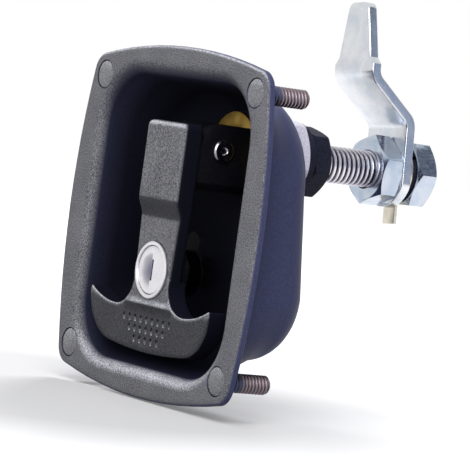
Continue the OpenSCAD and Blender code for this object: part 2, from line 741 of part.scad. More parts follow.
module lock_plug() {
    scoop_r = 8.6;
    scoop_reach = 3;
    scoop_depth = 0.6;
    color("#e3e4e6") difference() {
        union() {
            bar(cap_front, cap_seat - side_gap, plug_cap_d / 2, lock_z);
            bar(cap_front, tail_plate_y - eps, plug_d / 2, lock_z);
            translate([-tenon / 2, cap_front, lock_z - tenon / 2])
                cube([tenon, tail_plate_y + tail_plate_t - cap_front, tenon]);
        }
        key_way(rim_y - over, key_end, 0);
        slab(rim_y - over, cap_front + scoop_depth) translate([0, lock_z]) intersection() {
            translate([scoop_r - scoop_reach, 0]) circle(r = scoop_r);
            translate([-plug_cap_d, -plug_cap_d]) square([plug_cap_d, 2 * plug_cap_d]);
        }
        at_wafers() translate([-wafer_w / 2 - seat_fit, -seat_fit, -wafer_h / 2 - seat_fit])
            cube([wafer_w + 2 * seat_fit, wafer_t + 2 * seat_fit, wafer_h + 2 * seat_fit]);
        bar(key_end + 0.6, tail_plate_y + 2 * tail_plate_t, screw_r + seat_fit, lock_z);
    }
}
module wafers() {
    window_w = key_w + 0.6;
    color("#c2a35a") at_wafers() difference() {
        translate([-wafer_w / 2, 0, -wafer_h / 2]) cube([wafer_w, wafer_t, wafer_h]);
        translate([-window_w / 2, -over, -key_h / 2 + 1]) cube([window_w, wafer_t + 2 * over, key_h - 2]);
    }
}
module lock_tail() {
    hub_r = tenon / 2 * sqrt(2) + 1.2;
    color("#26272a") difference() {
        slab(tail_plate_y, tail_plate_y + tail_plate_t) translate([0, lock_z]) {
            circle(r = hub_r);
            translate([-tail_plate_w / 2, 0]) square([tail_plate_w, tail_reach - tail_plate_w / 2]);
            translate([0, tail_reach - tail_plate_w / 2]) circle(d = tail_plate_w);
        }
        translate([-tenon / 2 - seat_fit, tail_plate_y - over, lock_z - tenon / 2 - seat_fit])
            cube([tenon + 2 * seat_fit, tail_plate_t + 2 * over, tenon + 2 * seat_fit]);
    }
}
module tail_screw() {
    head_t = 1.8;
    slot_w = 0.9;
    head_y = tail_plate_y + tail_plate_t;
    color("#b4b5b8") difference() {
        union() {
            bar(head_y, head_y + head_t, tail_plate_w / 2, lock_z, r2 = tail_plate_w / 2 - 0.6);
            bar(key_end + 1, head_y + head_t / 4, screw_r, lock_z);
        }
        translate([-tail_plate_w, head_y + head_t - 0.7, lock_z - slot_w / 2])
            cube([2 * tail_plate_w, over, slot_w]);
    }
}

pan();
panel_studs();
bearing_sleeve();
spacer_collar();
shaft_seal();
lock_keeper();
keeper_rivets();
yoke();
shaft();
pivot_pin();
pivot_clip();
friction_washers();
retaining_washer();
retaining_nut();
front_nut();
cam();
tab_washer();
spring_washer();
rear_nut();
t_handle();
lock_housing();
lock_nut();
lock_plug();
wafers();
lock_tail();
tail_screw();
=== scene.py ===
# %% [markdown]
# This lesson dresses a folding T-handle latch. The solids are already built and packed as a fixed frame, so
# every piece made here goes where its solid is, in metres. A finished piece takes the place of its solid and
# rides on the same moving body.

# %% Load the fixed frame
import math

import bpy
from mathutils import Matrix, Vector


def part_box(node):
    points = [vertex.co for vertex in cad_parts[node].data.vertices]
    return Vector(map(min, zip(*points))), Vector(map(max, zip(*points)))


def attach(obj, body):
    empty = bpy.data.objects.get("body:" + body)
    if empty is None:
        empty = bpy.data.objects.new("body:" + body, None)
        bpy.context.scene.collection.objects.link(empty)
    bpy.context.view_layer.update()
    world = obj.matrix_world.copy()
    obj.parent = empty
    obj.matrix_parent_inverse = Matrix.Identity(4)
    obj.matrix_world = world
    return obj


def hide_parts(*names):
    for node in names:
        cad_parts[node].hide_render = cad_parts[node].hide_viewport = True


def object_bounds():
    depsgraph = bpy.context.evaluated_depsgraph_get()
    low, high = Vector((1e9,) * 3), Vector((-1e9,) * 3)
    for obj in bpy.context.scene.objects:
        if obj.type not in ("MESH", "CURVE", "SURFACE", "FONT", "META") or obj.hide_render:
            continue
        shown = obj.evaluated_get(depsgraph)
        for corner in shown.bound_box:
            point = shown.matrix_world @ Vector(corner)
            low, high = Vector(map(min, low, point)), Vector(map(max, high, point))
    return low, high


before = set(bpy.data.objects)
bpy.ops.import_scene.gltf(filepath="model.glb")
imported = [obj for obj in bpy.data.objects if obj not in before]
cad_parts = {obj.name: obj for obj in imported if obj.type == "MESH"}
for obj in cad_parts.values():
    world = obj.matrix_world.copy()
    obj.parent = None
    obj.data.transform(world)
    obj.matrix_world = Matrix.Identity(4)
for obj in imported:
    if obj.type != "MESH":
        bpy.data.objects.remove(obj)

MM = 0.001
cad_low, cad_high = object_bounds()
cad_size = [round((h - l) / MM, 1) for l, h in zip(cad_low, cad_high)]
print("solids:", len(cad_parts), "box in mm:", cad_size)

# %% [markdown]
# Blender's operators act on whatever is selected, so each helper first leaves exactly one object selected. The
# measures of a solid are read from the frame, in millimetres, so that a piece follows its solid.

# %% Helpers for selecting, measuring and finishing
def only(obj):
    """Leaves obj as the one selected and active object."""
    bpy.ops.object.select_all(action="DESELECT")
    obj.select_set(True)
    bpy.context.view_layer.objects.active = obj


def span(node, axis):
    """Lowest and highest place of a solid along x, y or z, in millimetres."""
    low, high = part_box(node)
    i = "xyz".index(axis)
    return low[i] / MM, high[i] / MM


def middle(node, axis):
    return sum(span(node, axis)) / 2


def modify(obj, kind, **settings):
    """Adds one modifier and applies it."""
    only(obj)
    made = obj.modifiers.new(kind.lower(), kind)
    for name, value in settings.items():
        setattr(made, name, value)
    bpy.ops.object.modifier_apply(modifier=made.name)
    return obj


def combine(obj, other, operation):
    """Joins, cuts or crosses obj with another closed mesh, and removes the other."""
    modify(obj, "BOOLEAN", object=other, operation=operation, solver="EXACT")
    bpy.data.objects.remove(other)
    return obj


def soften(obj, width, angle=35, segments=2):
    """Rounds the sharp edges of obj by a width in millimetres."""
    return modify(obj, "BEVEL", width=width * MM, segments=segments, limit_method="ANGLE",
                  angle_limit=math.radians(angle), use_clamp_overlap=True)


def close_up(obj):
    """Merges doubles, removes loose edges and turns all faces outwards."""
    only(obj)
    bpy.ops.object.mode_set(mode="EDIT")
    bpy.ops.mesh.select_all(action="SELECT")
    bpy.ops.mesh.remove_doubles(threshold=1e-6)
    bpy.ops.mesh.delete_loose()
    bpy.ops.mesh.select_all(action="SELECT")
    bpy.ops.mesh.normals_make_consistent(inside=False)
    bpy.ops.object.mode_set(mode="OBJECT")
    return obj


def join(first, *others):
    only(first)
    for other in others:
        other.select_set(True)
    bpy.ops.object.join()
    return first


made_pieces = []


def hand_in(obj, name, node, body, paint, angle=32):
    """Names a finished piece, shades it, paints it and lets it stand for its solid."""
    obj.name = obj.data.name = name
    only(obj)
    bpy.ops.object.shade_smooth_by_angle(angle=math.radians(angle))
    obj.data.materials.clear()
    obj.data.materials.append(paint)
    if node:
        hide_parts(node)
    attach(obj, body)
    made_pieces.append(obj)
    print(name, len(obj.data.polygons), "faces")
    return obj


# %% [markdown]
# Three ways of making a mesh cover almost every piece. A lathe shape is a closed profile that spin turns about
# an axis. A skin is a grid that is wrapped round a row of rings, and then filled at both ends. A thread is a
# grid whose rows climb by one pitch in each turn, so that its edges follow the real helix.

# %% Helpers for turned, skinned and threaded shapes
def turned(profile, place, axis=(0, 1, 0), steps=64):
    """Turns a closed profile of (radius, distance along), in millimetres, about an axis through place."""
    axis, place = Vector(axis), Vector(place) * MM
    side = axis.orthogonal().normalized()
    bpy.ops.object.select_all(action="DESELECT")
    bpy.ops.mesh.primitive_circle_add(vertices=len(profile), fill_type="NOTHING")
    obj = bpy.context.object
    for vertex, (radius, along) in zip(obj.data.vertices, profile):
        vertex.co = place + side * radius * MM + axis * along * MM
    bpy.ops.object.mode_set(mode="EDIT")
    bpy.ops.mesh.select_all(action="SELECT")
    bpy.ops.mesh.spin(steps=steps, angle=2 * math.pi, center=place, axis=axis)
    bpy.ops.object.mode_set(mode="OBJECT")
    return close_up(obj)


def skinned(rings):
    """Wraps a grid round rings of points in millimetres, each with as many points, and fills both ends."""
    count = len(rings[0])
    bpy.ops.object.select_all(action="DESELECT")
    bpy.ops.mesh.primitive_grid_add(x_subdivisions=count, y_subdivisions=len(rings) - 1)
    obj = bpy.context.object
    for row, ring in enumerate(rings):
        for column in range(count + 1):
            obj.data.vertices[row * (count + 1) + column].co = Vector(ring[column % count]) * MM
    bpy.ops.object.mode_set(mode="EDIT")
    bpy.ops.mesh.select_all(action="SELECT")
    bpy.ops.mesh.remove_doubles(threshold=1e-7)
    bpy.ops.mesh.fill_holes(sides=0)
    bpy.ops.object.mode_set(mode="OBJECT")
    return close_up(obj)


def threaded(major, minor, pitch, start, end, tip, columns=40, rows_in_pitch=10):
    """A threaded rod along Y about the origin, from start to end, with a tip bevel, all in millimetres."""
    turns = math.ceil((end - start) / pitch) + 2
    bpy.ops.object.select_all(action="DESELECT")
    bpy.ops.mesh.primitive_grid_add(x_subdivisions=columns, y_subdivisions=turns * rows_in_pitch)
    obj = bpy.context.object
    for row in range(turns * rows_in_pitch + 1):
        share = (row % rows_in_pitch) / rows_in_pitch
        flank = min(1, max(0, (abs(share - 0.5) - 0.18) / 0.27))
        for column in range(columns + 1):
            turn = column / columns
            along = start + pitch * (row / rows_in_pitch + turn - 2)
            radius = min(major - (major - minor) * flank, major + min(0, end - tip - along))
            angle = 2 * math.pi * turn
            obj.data.vertices[row * (columns + 1) + column].co = Vector(
                (radius * math.sin(angle), along, radius * math.cos(angle))) * MM
    bpy.ops.object.mode_set(mode="EDIT")
    bpy.ops.mesh.select_all(action="SELECT")
    bpy.ops.mesh.remove_doubles(threshold=1e-7)
    for place, way in ((start, -1), (end, 1)):
        bpy.ops.mesh.select_all(action="SELECT")
        bpy.ops.mesh.bisect(plane_co=(0, place * MM, 0), plane_no=(0, way, 0), clear_outer=True,
                            use_fill=True, threshold=1e-7)
    bpy.ops.object.mode_set(mode="OBJECT")
    return close_up(obj)


def move(obj, offset):
    """Moves a mesh by millimetres and leaves its object at the origin."""
    only(obj)
    bpy.ops.transform.translate(value=Vector(offset) * MM)
    bpy.ops.object.transform_apply(location=True, rotation=True, scale=True)
    return obj


def arc(x, z, radius, start, end, steps):
    """Points of an arc in the X and Z plane, with angles in degrees from +X towards +Z."""
    angles = [math.radians(start + (end - start) * i / steps) for i in range(steps + 1)]
    return [(x + radius * math.cos(a), z + radius * math.sin(a)) for a in angles]


def between(first, second, share):
    """A ring part of the way from one ring to another."""
    return [tuple(a + (b - a) * share for a, b in zip(p, q)) for p, q in zip(first, second)]


# %% [markdown]
# The camera was fitted to the photograph from the flange's outline, the stud heads and the stud tips. It stands
# about a metre away with a long lens, and it is rolled a little, so the latch leans in the picture.

# %% Camera
PHOTO_PX = 470
FOCAL_PX = 3074.7
camera = bpy.data.objects.new("camera", bpy.data.cameras.new("camera"))
bpy.context.scene.collection.objects.link(camera)
camera.data.sensor_width = 36
camera.data.lens = camera.data.sensor_width * FOCAL_PX / PHOTO_PX
camera.data.clip_start, camera.data.clip_end = 0.05, 20
camera_back = Vector((0.8293, -0.5574, 0.0401)).normalized()
camera_right = Vector((-0.109, -0.0909, 0.9899)).cross(camera_back).normalized()
camera_up = camera_back.cross(camera_right)
camera.matrix_world = Matrix.Translation((0.85072, -0.54364, 0.03974)) @ Matrix(
    (camera_right, camera_up, camera_back)).transposed().to_4x4()
bpy.context.scene.camera = camera
print("lens", round(camera.data.lens, 1), "mm")

# %% [markdown]
# Materials come next, because every piece is painted as it is handed in. Effects that several finishes share
# are node groups: a fine grain for the powder coat and the castings, a cloudy bloom for plated steel, and a
# mask that tells the crest of a thread from its valley.

# %% Helpers for shader nodes
def node(tree, kind, values=None, **settings):
    """Adds a shader node with input values by name or number, and settings."""
    made = tree.nodes.new("ShaderNode" + kind)
    for name, value in settings.items():
        setattr(made, name, value)
    for name, value in (values or {}).items():
        if isinstance(value, bpy.types.NodeSocket):
            tree.links.new(value, made.inputs[name])
        else:
            made.inputs[name].default_value = value
    return made


def group(name, inputs, outputs):
    """Starts a shader node group; inputs are {name: default}, outputs {name: socket type}."""
    tree = bpy.data.node_groups.new(name, "ShaderNodeTree")
    for label, default in inputs.items():
        kind = "NodeSocketColor" if isinstance(default, tuple) else "NodeSocketFloat"
        tree.interface.new_socket(label, in_out="INPUT", socket_type=kind).default_value = default
    for label, kind in outputs.items():
        tree.interface.new_socket(label, in_out="OUTPUT", socket_type=kind)
    return tree, tree.nodes.new("NodeGroupInput"), tree.nodes.new("NodeGroupOutput")


def use(tree, shared, **values):
    """Places a node group in a material with its own values."""
    made = tree.nodes.new("ShaderNodeGroup")
    made.node_tree = shared
    for name, value in values.items():
        made.inputs[name.replace("_", " ")].default_value = value
    return made


def finish(name, metallic, **sockets):
    """Starts a material with one Principled shader and constant values on its own sockets."""
    paint = bpy.data.materials.new(name)
    paint.use_nodes = True
    shader = paint.node_tree.nodes["Principled BSDF"]
    shader.inputs["Metallic"].default_value = metallic
    for socket, value in sockets.items():
        shader.inputs[socket.replace("_", " ")].default_value = value
    return paint, paint.node_tree, shader


def bump(tree, shader, height, strength, distance_mm):
    """Lets a height feed the shader's normal."""
    made = node(tree, "Bump", {"Height": height, "Strength": strength, "Distance": distance_mm * MM})
    tree.links.new(made.outputs["Normal"], shader.inputs["Normal"])


# %% [markdown]
# A fine grain covers the powder coat, the casting and the moulded pieces. Small noise makes the specks, and wide
# noise adds faint clouds, so that a large face isn't even all over.

# %% Shared grain
grain_group, inlet, outlet = group(
    "fine_grain",
    {"Grain mm": 0.5, "Dark": (0, 0, 0, 1), "Light": (1, 1, 1, 1), "Rough low": 0.4, "Rough high": 0.6},
    {"Color": "NodeSocketColor", "Roughness": "NodeSocketFloat", "Height": "NodeSocketFloat"})
place = node(grain_group, "TexCoord").outputs["Object"]
per_metre = node(grain_group, "Math", {0: 1 / MM, 1: inlet.outputs["Grain mm"]}, operation="DIVIDE")
fine = node(grain_group, "TexNoise", {"Vector": place, "Scale": per_metre.outputs[0], "Detail": 3.0,
                                      "Roughness": 0.6})
clouds = node(grain_group, "TexNoise", {"Vector": place, "Scale": 90.0, "Detail": 3.0})
speck = node(grain_group, "MapRange", {"Value": fine.outputs["Fac"], "From Min": 0.37, "From Max": 0.65})
cloud = node(grain_group, "MapRange", {"Value": clouds.outputs["Fac"], "From Min": 0.3, "From Max": 0.7})
blend = node(grain_group, "Math", {0: speck.outputs[0], 1: 0.86}, operation="MULTIPLY")
blend = node(grain_group, "Math", {0: cloud.outputs[0], 1: 0.14, 2: blend.outputs[0]},
             operation="MULTIPLY_ADD")
colour = node(grain_group, "Mix", {"Factor": blend.outputs[0]}, data_type="RGBA")
grain_group.links.new(inlet.outputs["Dark"], colour.inputs["A"])
grain_group.links.new(inlet.outputs["Light"], colour.inputs["B"])
rough = node(grain_group, "MapRange", {"Value": fine.outputs["Fac"], "From Min": 0.3, "From Max": 0.7,
                                       "To Min": inlet.outputs["Rough low"],
                                       "To Max": inlet.outputs["Rough high"]})
for socket, source in (("Color", colour.outputs["Result"]), ("Roughness", rough.outputs[0]),
                       ("Height", fine.outputs["Fac"])):
    grain_group.links.new(source, outlet.inputs[socket])
print("shared grain:", len(grain_group.nodes), "nodes")

# %% [markdown]
# Plated steel is never one even colour: the bath leaves a cloudy bloom between a cool and a warm tint, and the
# metal beneath keeps faint streaks from rolling.

# %% Shared bloom
bloom_group, inlet, outlet = group(
    "plating_bloom",
    {"Cool": (0.6, 0.66, 0.8, 1), "Warm": (0.8, 0.78, 0.74, 1), "Rough low": 0.2, "Rough high": 0.4},
    {"Color": "NodeSocketColor", "Roughness": "NodeSocketFloat", "Height": "NodeSocketFloat"})
place = node(bloom_group, "TexCoord").outputs["Object"]
clouds = node(bloom_group, "TexNoise", {"Vector": place, "Scale": 130.0, "Detail": 4.0, "Distortion": 0.6})
streaks = node(bloom_group, "TexNoise", {"Vector": node(bloom_group, "Mapping", {
    "Vector": place, "Scale": (2600.0, 500.0, 350.0)}).outputs[0], "Scale": 1.0, "Detail": 3.0})
tint = node(bloom_group, "MapRange", {"Value": clouds.outputs["Fac"], "From Min": 0.35, "From Max": 0.65})
colour = node(bloom_group, "Mix", {"Factor": tint.outputs[0]}, data_type="RGBA")
bloom_group.links.new(inlet.outputs["Cool"], colour.inputs["A"])
bloom_group.links.new(inlet.outputs["Warm"], colour.inputs["B"])
rough = node(bloom_group, "MapRange", {"Value": streaks.outputs["Fac"], "From Min": 0.3, "From Max": 0.7,
                                       "To Min": inlet.outputs["Rough low"],
                                       "To Max": inlet.outputs["Rough high"]})
for socket, source in (("Color", colour.outputs["Result"]), ("Roughness", rough.outputs[0]),
                       ("Height", streaks.outputs["Fac"])):
    bloom_group.links.new(source, outlet.inputs[socket])
print("shared bloom:", len(bloom_group.nodes), "nodes")

# %% [markdown]
# A thread gets a painted highlight on its crests and painted shade in its valleys. The mask is the distance
# from the rod's axis; the places are mirrored first, so one axis serves the studs in all four corners.

# %% Shared crest mask
crest_group, inlet, outlet = group(
    "thread_crest", {"Axis x": 0.0, "Axis z": 0.0, "Valley": 0.005, "Crest": 0.006},
    {"Mask": "NodeSocketFloat"})
place = node(crest_group, "TexCoord").outputs["Object"]
mirrored = node(crest_group, "VectorMath", {0: place}, operation="ABSOLUTE")
apart = node(crest_group, "SeparateXYZ", {0: mirrored.outputs[0]})
off_x = node(crest_group, "Math", {0: apart.outputs["X"], 1: inlet.outputs["Axis x"]}, operation="SUBTRACT")
off_z = node(crest_group, "Math", {0: apart.outputs["Z"], 1: inlet.outputs["Axis z"]}, operation="SUBTRACT")
across = node(crest_group, "CombineXYZ", {"X": off_x.outputs[0], "Z": off_z.outputs[0]})
reach = node(crest_group, "VectorMath", {0: across.outputs[0]}, operation="LENGTH")
mask = node(crest_group, "MapRange", {"Value": reach.outputs["Value"], "From Min": inlet.outputs["Valley"],
                                      "From Max": inlet.outputs["Crest"]})
crest_group.links.new(mask.outputs[0], outlet.inputs["Mask"])
print("shared effects:", [g.name for g in bpy.data.node_groups])

# %% [markdown]
# Painted, cast, moulded and blackened pieces take the shared grain with their own colours.

# %% Grained finish
def grained(name, dark, light, grain_mm, rough_low, rough_high, strength, metallic=0.0, **sockets):
    """A painted, cast or moulded finish with a fine grain."""
    paint, tree, shader = finish(name, metallic, **sockets)
    grain = use(tree, grain_group, Grain_mm=grain_mm, Dark=(*dark, 1), Light=(*light, 1),
                Rough_low=rough_low, Rough_high=rough_high)
    tree.links.new(grain.outputs["Color"], shader.inputs["Base Color"])
    tree.links.new(grain.outputs["Roughness"], shader.inputs["Roughness"])
    bump(tree, shader, grain.outputs["Height"], strength, 0.15)
    return paint


# %% [markdown]
# The powder coat is one black coat on the real latch. In the photograph it looks grey and grainy in front, navy
# outside and nearly black in the dish, and light alone didn't give that here. So light and shade are painted
# into
# its colour: a painted sheen makes front faces grey, painted shade with a bluish painted reflection makes other
# faces navy, and darker painted shade fills the dish, lies on the handle's sides and on faces that tilt down;
# edges that face forward and up get a painted highlight. The Normal output tells the way a face looks, and
# Object coordinates tell its place.

# %% Powder coat
# The first grain is the grey painted sheen of front faces, and the second the navy painted shade, with a bluish
# painted reflection, of other faces. Inside the dish only a small share of the navy is left, as darker painted
# shade. The tilts say how far a face leans down before its sheen gives way to painted shade, and how much sheen
# it keeps.
PAINTED_SHEEN_COAT = {"Grain_mm": 0.42, "Dark": (0.034, 0.035, 0.042, 1), "Light": (0.22, 0.22, 0.238, 1),
             "Rough_low": 0.42, "Rough_high": 0.6}
PAINTED_SHADE_COAT = {"Grain_mm": 0.8, "Dark": (0.036, 0.039, 0.082, 1), "Light": (0.048, 0.052, 0.105, 1),
             "Rough_low": 0.34, "Rough_high": 0.44}
DISH_SHADE_SHARE, INSIDE_ROUGH = 0.09, 0.7
DISH_MIDDLE = (0, 6 * MM, 0)
FORWARD_AND_UP = (0, -0.77, 0.64)
PAN_TILT = (0.55, 0.3)
HANDLE_TILT = (0.08, 0.25)


def coat_with_painted_light(tree, in_dish, tilt, tilted_share):
    """Colour, roughness and relief, with light painted in: a grey painted sheen in front, navy painted shade
    with a bluish painted reflection elsewhere, darker painted shade in the dish, and a painted highlight on
    edges that face forward and up.

    A piece that is in_dish has painted shade on all its sides. A front face loses its sheen to painted shade as
    it tilts down, to tilted_share.
    """
    front, behind = use(tree, grain_group, **PAINTED_SHEEN_COAT), use(tree, grain_group, **PAINTED_SHADE_COAT)
    spot = node(tree, "TexCoord")
    place, way = spot.outputs["Object"], spot.outputs["Normal"]
    depth = node(tree, "SeparateXYZ", {0: place}).outputs["Y"]
    near = node(tree, "MapRange", {"Value": depth, "From Min": 2.5 * MM, "From Max": 0.5 * MM})
    turn = node(tree, "SeparateXYZ", {0: way})
    ahead = node(tree, "MapRange", {"Value": turn.outputs["Y"], "From Min": -0.3, "From Max": -0.85})
    # Faces that tilt down lose their grey sheen to painted shade.
    level = node(tree, "MapRange", {"Value": turn.outputs["Z"], "From Min": -tilt, "From Max": 0.0,
                                    "To Min": tilted_share})
    face = node(tree, "Math", {0: near.outputs[0], 1: ahead.outputs[0]}, operation="MULTIPLY").outputs[0]
    grey = node(tree, "Math", {0: face, 1: level.outputs[0]}, operation="MULTIPLY").outputs[0]
    # Faces in the dish keep only a small share of the navy, as painted shade; faces turned outwards, and the
    # mouth a little, keep more.
    dimmed, matt = DISH_SHADE_SHARE, INSIDE_ROUGH
    if not in_dish:
        from_dish = node(tree, "VectorMath", {0: place, 1: DISH_MIDDLE}, operation="SUBTRACT")
        facing = node(tree, "VectorMath", {0: way, 1: from_dish.outputs[0]}, operation="DOT_PRODUCT")
        outside = node(tree, "MapRange", {"Value": facing.outputs["Value"], "From Min": 8 * MM,
                                          "From Max": 34 * MM}).outputs[0]
        mouth = node(tree, "MapRange", {"Value": depth, "From Max": 9 * MM, "To Min": 0.28, "To Max": 0.0})
        lit = node(tree, "Math", {0: outside, 1: mouth.outputs[0]}, operation="MAXIMUM")
        dimmed = node(tree, "MapRange", {"Value": lit.outputs[0], "To Min": DISH_SHADE_SHARE}).outputs[0]
        matt = node(tree, "Mix", {"Factor": outside, "A": INSIDE_ROUGH,
                                  "B": behind.outputs["Roughness"]}).outputs[0]
    shade = node(tree, "VectorMath", {0: behind.outputs["Color"], "Scale": dimmed}, operation="SCALE")
    # Edges that face forward and up get a painted highlight, which brightens the grain.
    upward = node(tree, "VectorMath", {0: way, 1: FORWARD_AND_UP}, operation="DOT_PRODUCT")
    painted_highlight = node(tree, "MapRange", {"Value": upward.outputs["Value"], "From Min": 0.8, "From Max": 0.98,
                                     "To Min": 1.0, "To Max": 2.7})
    grain = node(tree, "VectorMath", {0: front.outputs["Color"], "Scale": painted_highlight.outputs[0]},
                 operation="SCALE")
    colour = node(tree, "Mix", {"Factor": grey}, data_type="RGBA")
    tree.links.new(shade.outputs[0], colour.inputs["A"])
    tree.links.new(grain.outputs[0], colour.inputs["B"])
    rough = node(tree, "Mix", {"Factor": face, "A": matt, "B": front.outputs["Roughness"]})
    relief = node(tree, "Math", {0: face, 1: front.outputs["Height"]}, operation="MULTIPLY")
    return colour.outputs["Result"], rough.outputs[0], relief.outputs[0]


def coated(name, in_dish, tilt, tilted_share):
    """The powder coat as a material of its own."""
    paint, tree, shader = finish(name, 0.0, Specular_IOR_Level=0.05)
    colour, rough, relief = coat_with_painted_light(tree, in_dish, tilt, tilted_share)
    tree.links.new(colour, shader.inputs["Base Color"])
    tree.links.new(rough, shader.inputs["Roughness"])
    bump(tree, shader, relief, 0.6, 0.22)
    return paint


# The pan's coat has painted shade in the dish and is navy outside; the handle, which sits in the dish, has
# painted shade on all its sides.
powder_coat = coated("powder_coat", False, *PAN_TILT)
handle_coat = coated("handle_coat", True, *HANDLE_TILT)
print("coats:", powder_coat.name, handle_coat.name)

# %% [markdown]
# Plated pieces take the shared bloom. The lock's metal also has painted shade by depth: its scoop is darker than
# its face, and its barrel, in the dish's shadow, is nearly black.

# %% Plated finish
def plated(name, cool, warm, rough_low, rough_high, strength=0.05, painted_depth_shade=()):
    """A plated metal with a cloudy bloom and faint streaks; the last argument lists (from y, to y, colour) of
    painted shade by depth.
    """
    paint, tree, shader = finish(name, 1.0)
    bloom = use(tree, bloom_group, Cool=(*cool, 1), Warm=(*warm, 1), Rough_low=rough_low,
                Rough_high=rough_high)
    colour = bloom.outputs["Color"]
    # Each entry blends in painted shade from one depth to the next.
    for near, far, shade in painted_depth_shade:
        depth = node(tree, "SeparateXYZ", {0: node(tree, "TexCoord").outputs["Object"]}).outputs["Y"]
        behind = node(tree, "MapRange", {"Value": depth, "From Min": near * MM, "From Max": far * MM})
        mixed = node(tree, "Mix", {"Factor": behind.outputs[0]}, data_type="RGBA")
        tree.links.new(colour, mixed.inputs["A"])
        mixed.inputs["B"].default_value = (*shade, 1)
        colour = mixed.outputs["Result"]
    tree.links.new(colour, shader.inputs["Base Color"])
    tree.links.new(bloom.outputs["Roughness"], shader.inputs["Roughness"])
    bump(tree, shader, bloom.outputs["Height"], strength, 0.02)
    return paint


# %% [markdown]
# The list of finishes. Each has a dark and a light colour, or a cool and a warm one, and a range of roughness.

# %% List of finishes
cast_grey = grained("cast_grey", (0.38, 0.37, 0.44), (0.54, 0.52, 0.6), 0.7, 0.5, 0.7, 0.3, metallic=0.15)
black_oxide = grained("black_oxide", (0.006, 0.007, 0.013), (0.018, 0.019, 0.034), 0.6, 0.45, 0.6, 0.12,
                      Specular_IOR_Level=0.06)
# Black oxide made darker still as painted shade, for pieces that lie in the dish's shadow.
shaded_black_oxide = grained("shaded_black_oxide", (0.002, 0.002, 0.003), (0.006, 0.006, 0.009), 0.6, 0.5, 0.65, 0.1,
                     Specular_IOR_Level=0.06)
seal_rubber = grained("seal_rubber", (0.01, 0.01, 0.01), (0.02, 0.02, 0.02), 0.5, 0.7, 0.85, 0.1)
nylon = grained("nylon", (0.6, 0.57, 0.48), (0.7, 0.67, 0.6), 0.6, 0.4, 0.55, 0.08)
bright_zinc = plated("bright_zinc", (0.38, 0.45, 0.55), (0.52, 0.56, 0.63), 0.12, 0.22)
tab_zinc = plated("tab_zinc", (0.5, 0.47, 0.4), (0.6, 0.56, 0.46), 0.22, 0.36)
cam_zinc = plated("cam_zinc", (0.56, 0.6, 0.65), (0.7, 0.71, 0.73), 0.18, 0.28)
# The yellow zinc is darker than the plating itself, as painted shade for the sleeve deep in the dish.
yellow_zinc = plated("yellow_zinc", (0.24, 0.15, 0.03), (0.36, 0.24, 0.06), 0.36, 0.5)
keeper_steel = plated("keeper_steel", (0.36, 0.37, 0.4), (0.5, 0.5, 0.52), 0.35, 0.5)
# The lock's scoop and barrel get painted shade by depth.
lock_nickel = plated("lock_nickel", (0.64, 0.63, 0.66), (0.7, 0.69, 0.7), 0.24, 0.36, 0.03,
                     painted_depth_shade=((-2.85, -1.9, (0.13, 0.13, 0.19)), (-1.7, -1.0, (0.012, 0.012, 0.016))))
wafer_brass = plated("wafer_brass", (0.66, 0.48, 0.2), (0.76, 0.58, 0.28), 0.28, 0.42)
pin_steel = plated("pin_steel", (0.3, 0.29, 0.32), (0.4, 0.38, 0.41), 0.16, 0.28)
print("finishes:", len(bpy.data.materials))

# %% [markdown]
# The pan is pressed or cast in one piece: a thin flange with slightly bowed sides, a rolled mouth and a deep
# dish. It is skinned in one pass, from the dish's floor up its wall, over the lip, round the flange's edge and
# back down the outside, so the wall keeps its thickness and every edge gets its own roundness.

# %% Outlines of the pan
CORNER_STEPS, SIDE_STEPS = 16, 12
FLANGE_FRONT, WALL, LIP = span("pan", "y")[0], 2.5, 4.6
SHAFT_Z = middle("shaft", "z")


def ring(corners):
    """A closed ring through four round corners of (x, z, radius, y), anticlockwise from the upper right one."""
    points = []
    for k, (x, z, radius, y) in enumerate(corners):
        points += [(px, y, pz) for px, pz in arc(x, z, radius, 90 * k, 90 * k + 90, CORNER_STEPS)]
        x, z, radius, y = corners[(k + 1) % 4]
        (px, pz), last = arc(x, z, radius, 90 * k + 90, 90 * k + 90, 1)[0], points[-1]
        points += [tuple(a + (b - a) * i / SIDE_STEPS for a, b in zip(last, (px, y, pz)))
                   for i in range(1, SIDE_STEPS)]
    return points


def four(top, bottom):
    """Places in the four corners: the upper pair and the lower pair are each (x, z, radius, y)."""
    return [top, (-top[0], *top[1:]), (-bottom[0], *bottom[1:]), bottom]


def mouth_ring(grow, y):
    return ring(four((24.8, 28.8, 19 + grow, y), (24.8, -28.8, 19 + grow, y)))


def dish_ring(inset, lean):
    """The dish's edge: lean 0 is where the wall ends and lean 90 where the floor begins."""
    edge, lean = 12 - inset, math.radians(lean)
    grow, sink = edge * math.cos(lean) - edge - inset, edge * math.sin(lean) - edge - inset
    return ring(four((12.5, 15.5, 32 + grow, 28.5 + sink), (21.5, -18, 23 + grow, 32.6 + sink)))


def flange_ring(inset, y):
    """The flange's outline of four wide bows that run into round corners."""
    half, bow, corner_r = span("pan", "x")[1], 238, 7
    drop, reach = bow - half, bow - corner_r
    corner = (math.sqrt(2 * reach ** 2 - drop ** 2) - drop) / 2
    meet = math.degrees(math.atan2(corner + drop, corner))
    quarter = arc(corner, corner, corner_r - inset, 90 - meet, meet, CORNER_STEPS)
    quarter += arc(0, -drop, bow - inset, meet, 180 - meet, SIDE_STEPS)[1:-1]
    quarters = [(Matrix.Rotation(math.radians(90 * k), 2) @ Vector(p)) for k in range(4) for p in quarter]
    return [(p.x, y, p.y) for p in quarters]


def floor_rings(inset):
    """Rings that shrink towards the middle of the dish's floor."""
    edge = dish_ring(inset, 90)
    return [between([(0, 32.3 - inset, -1.2)] * len(edge), edge, share) for share in (0.04, 0.3, 0.55, 0.8)]


# %% [markdown]
# The rings now follow one another round the wall. Each rounded edge is a few rings on a quarter circle.

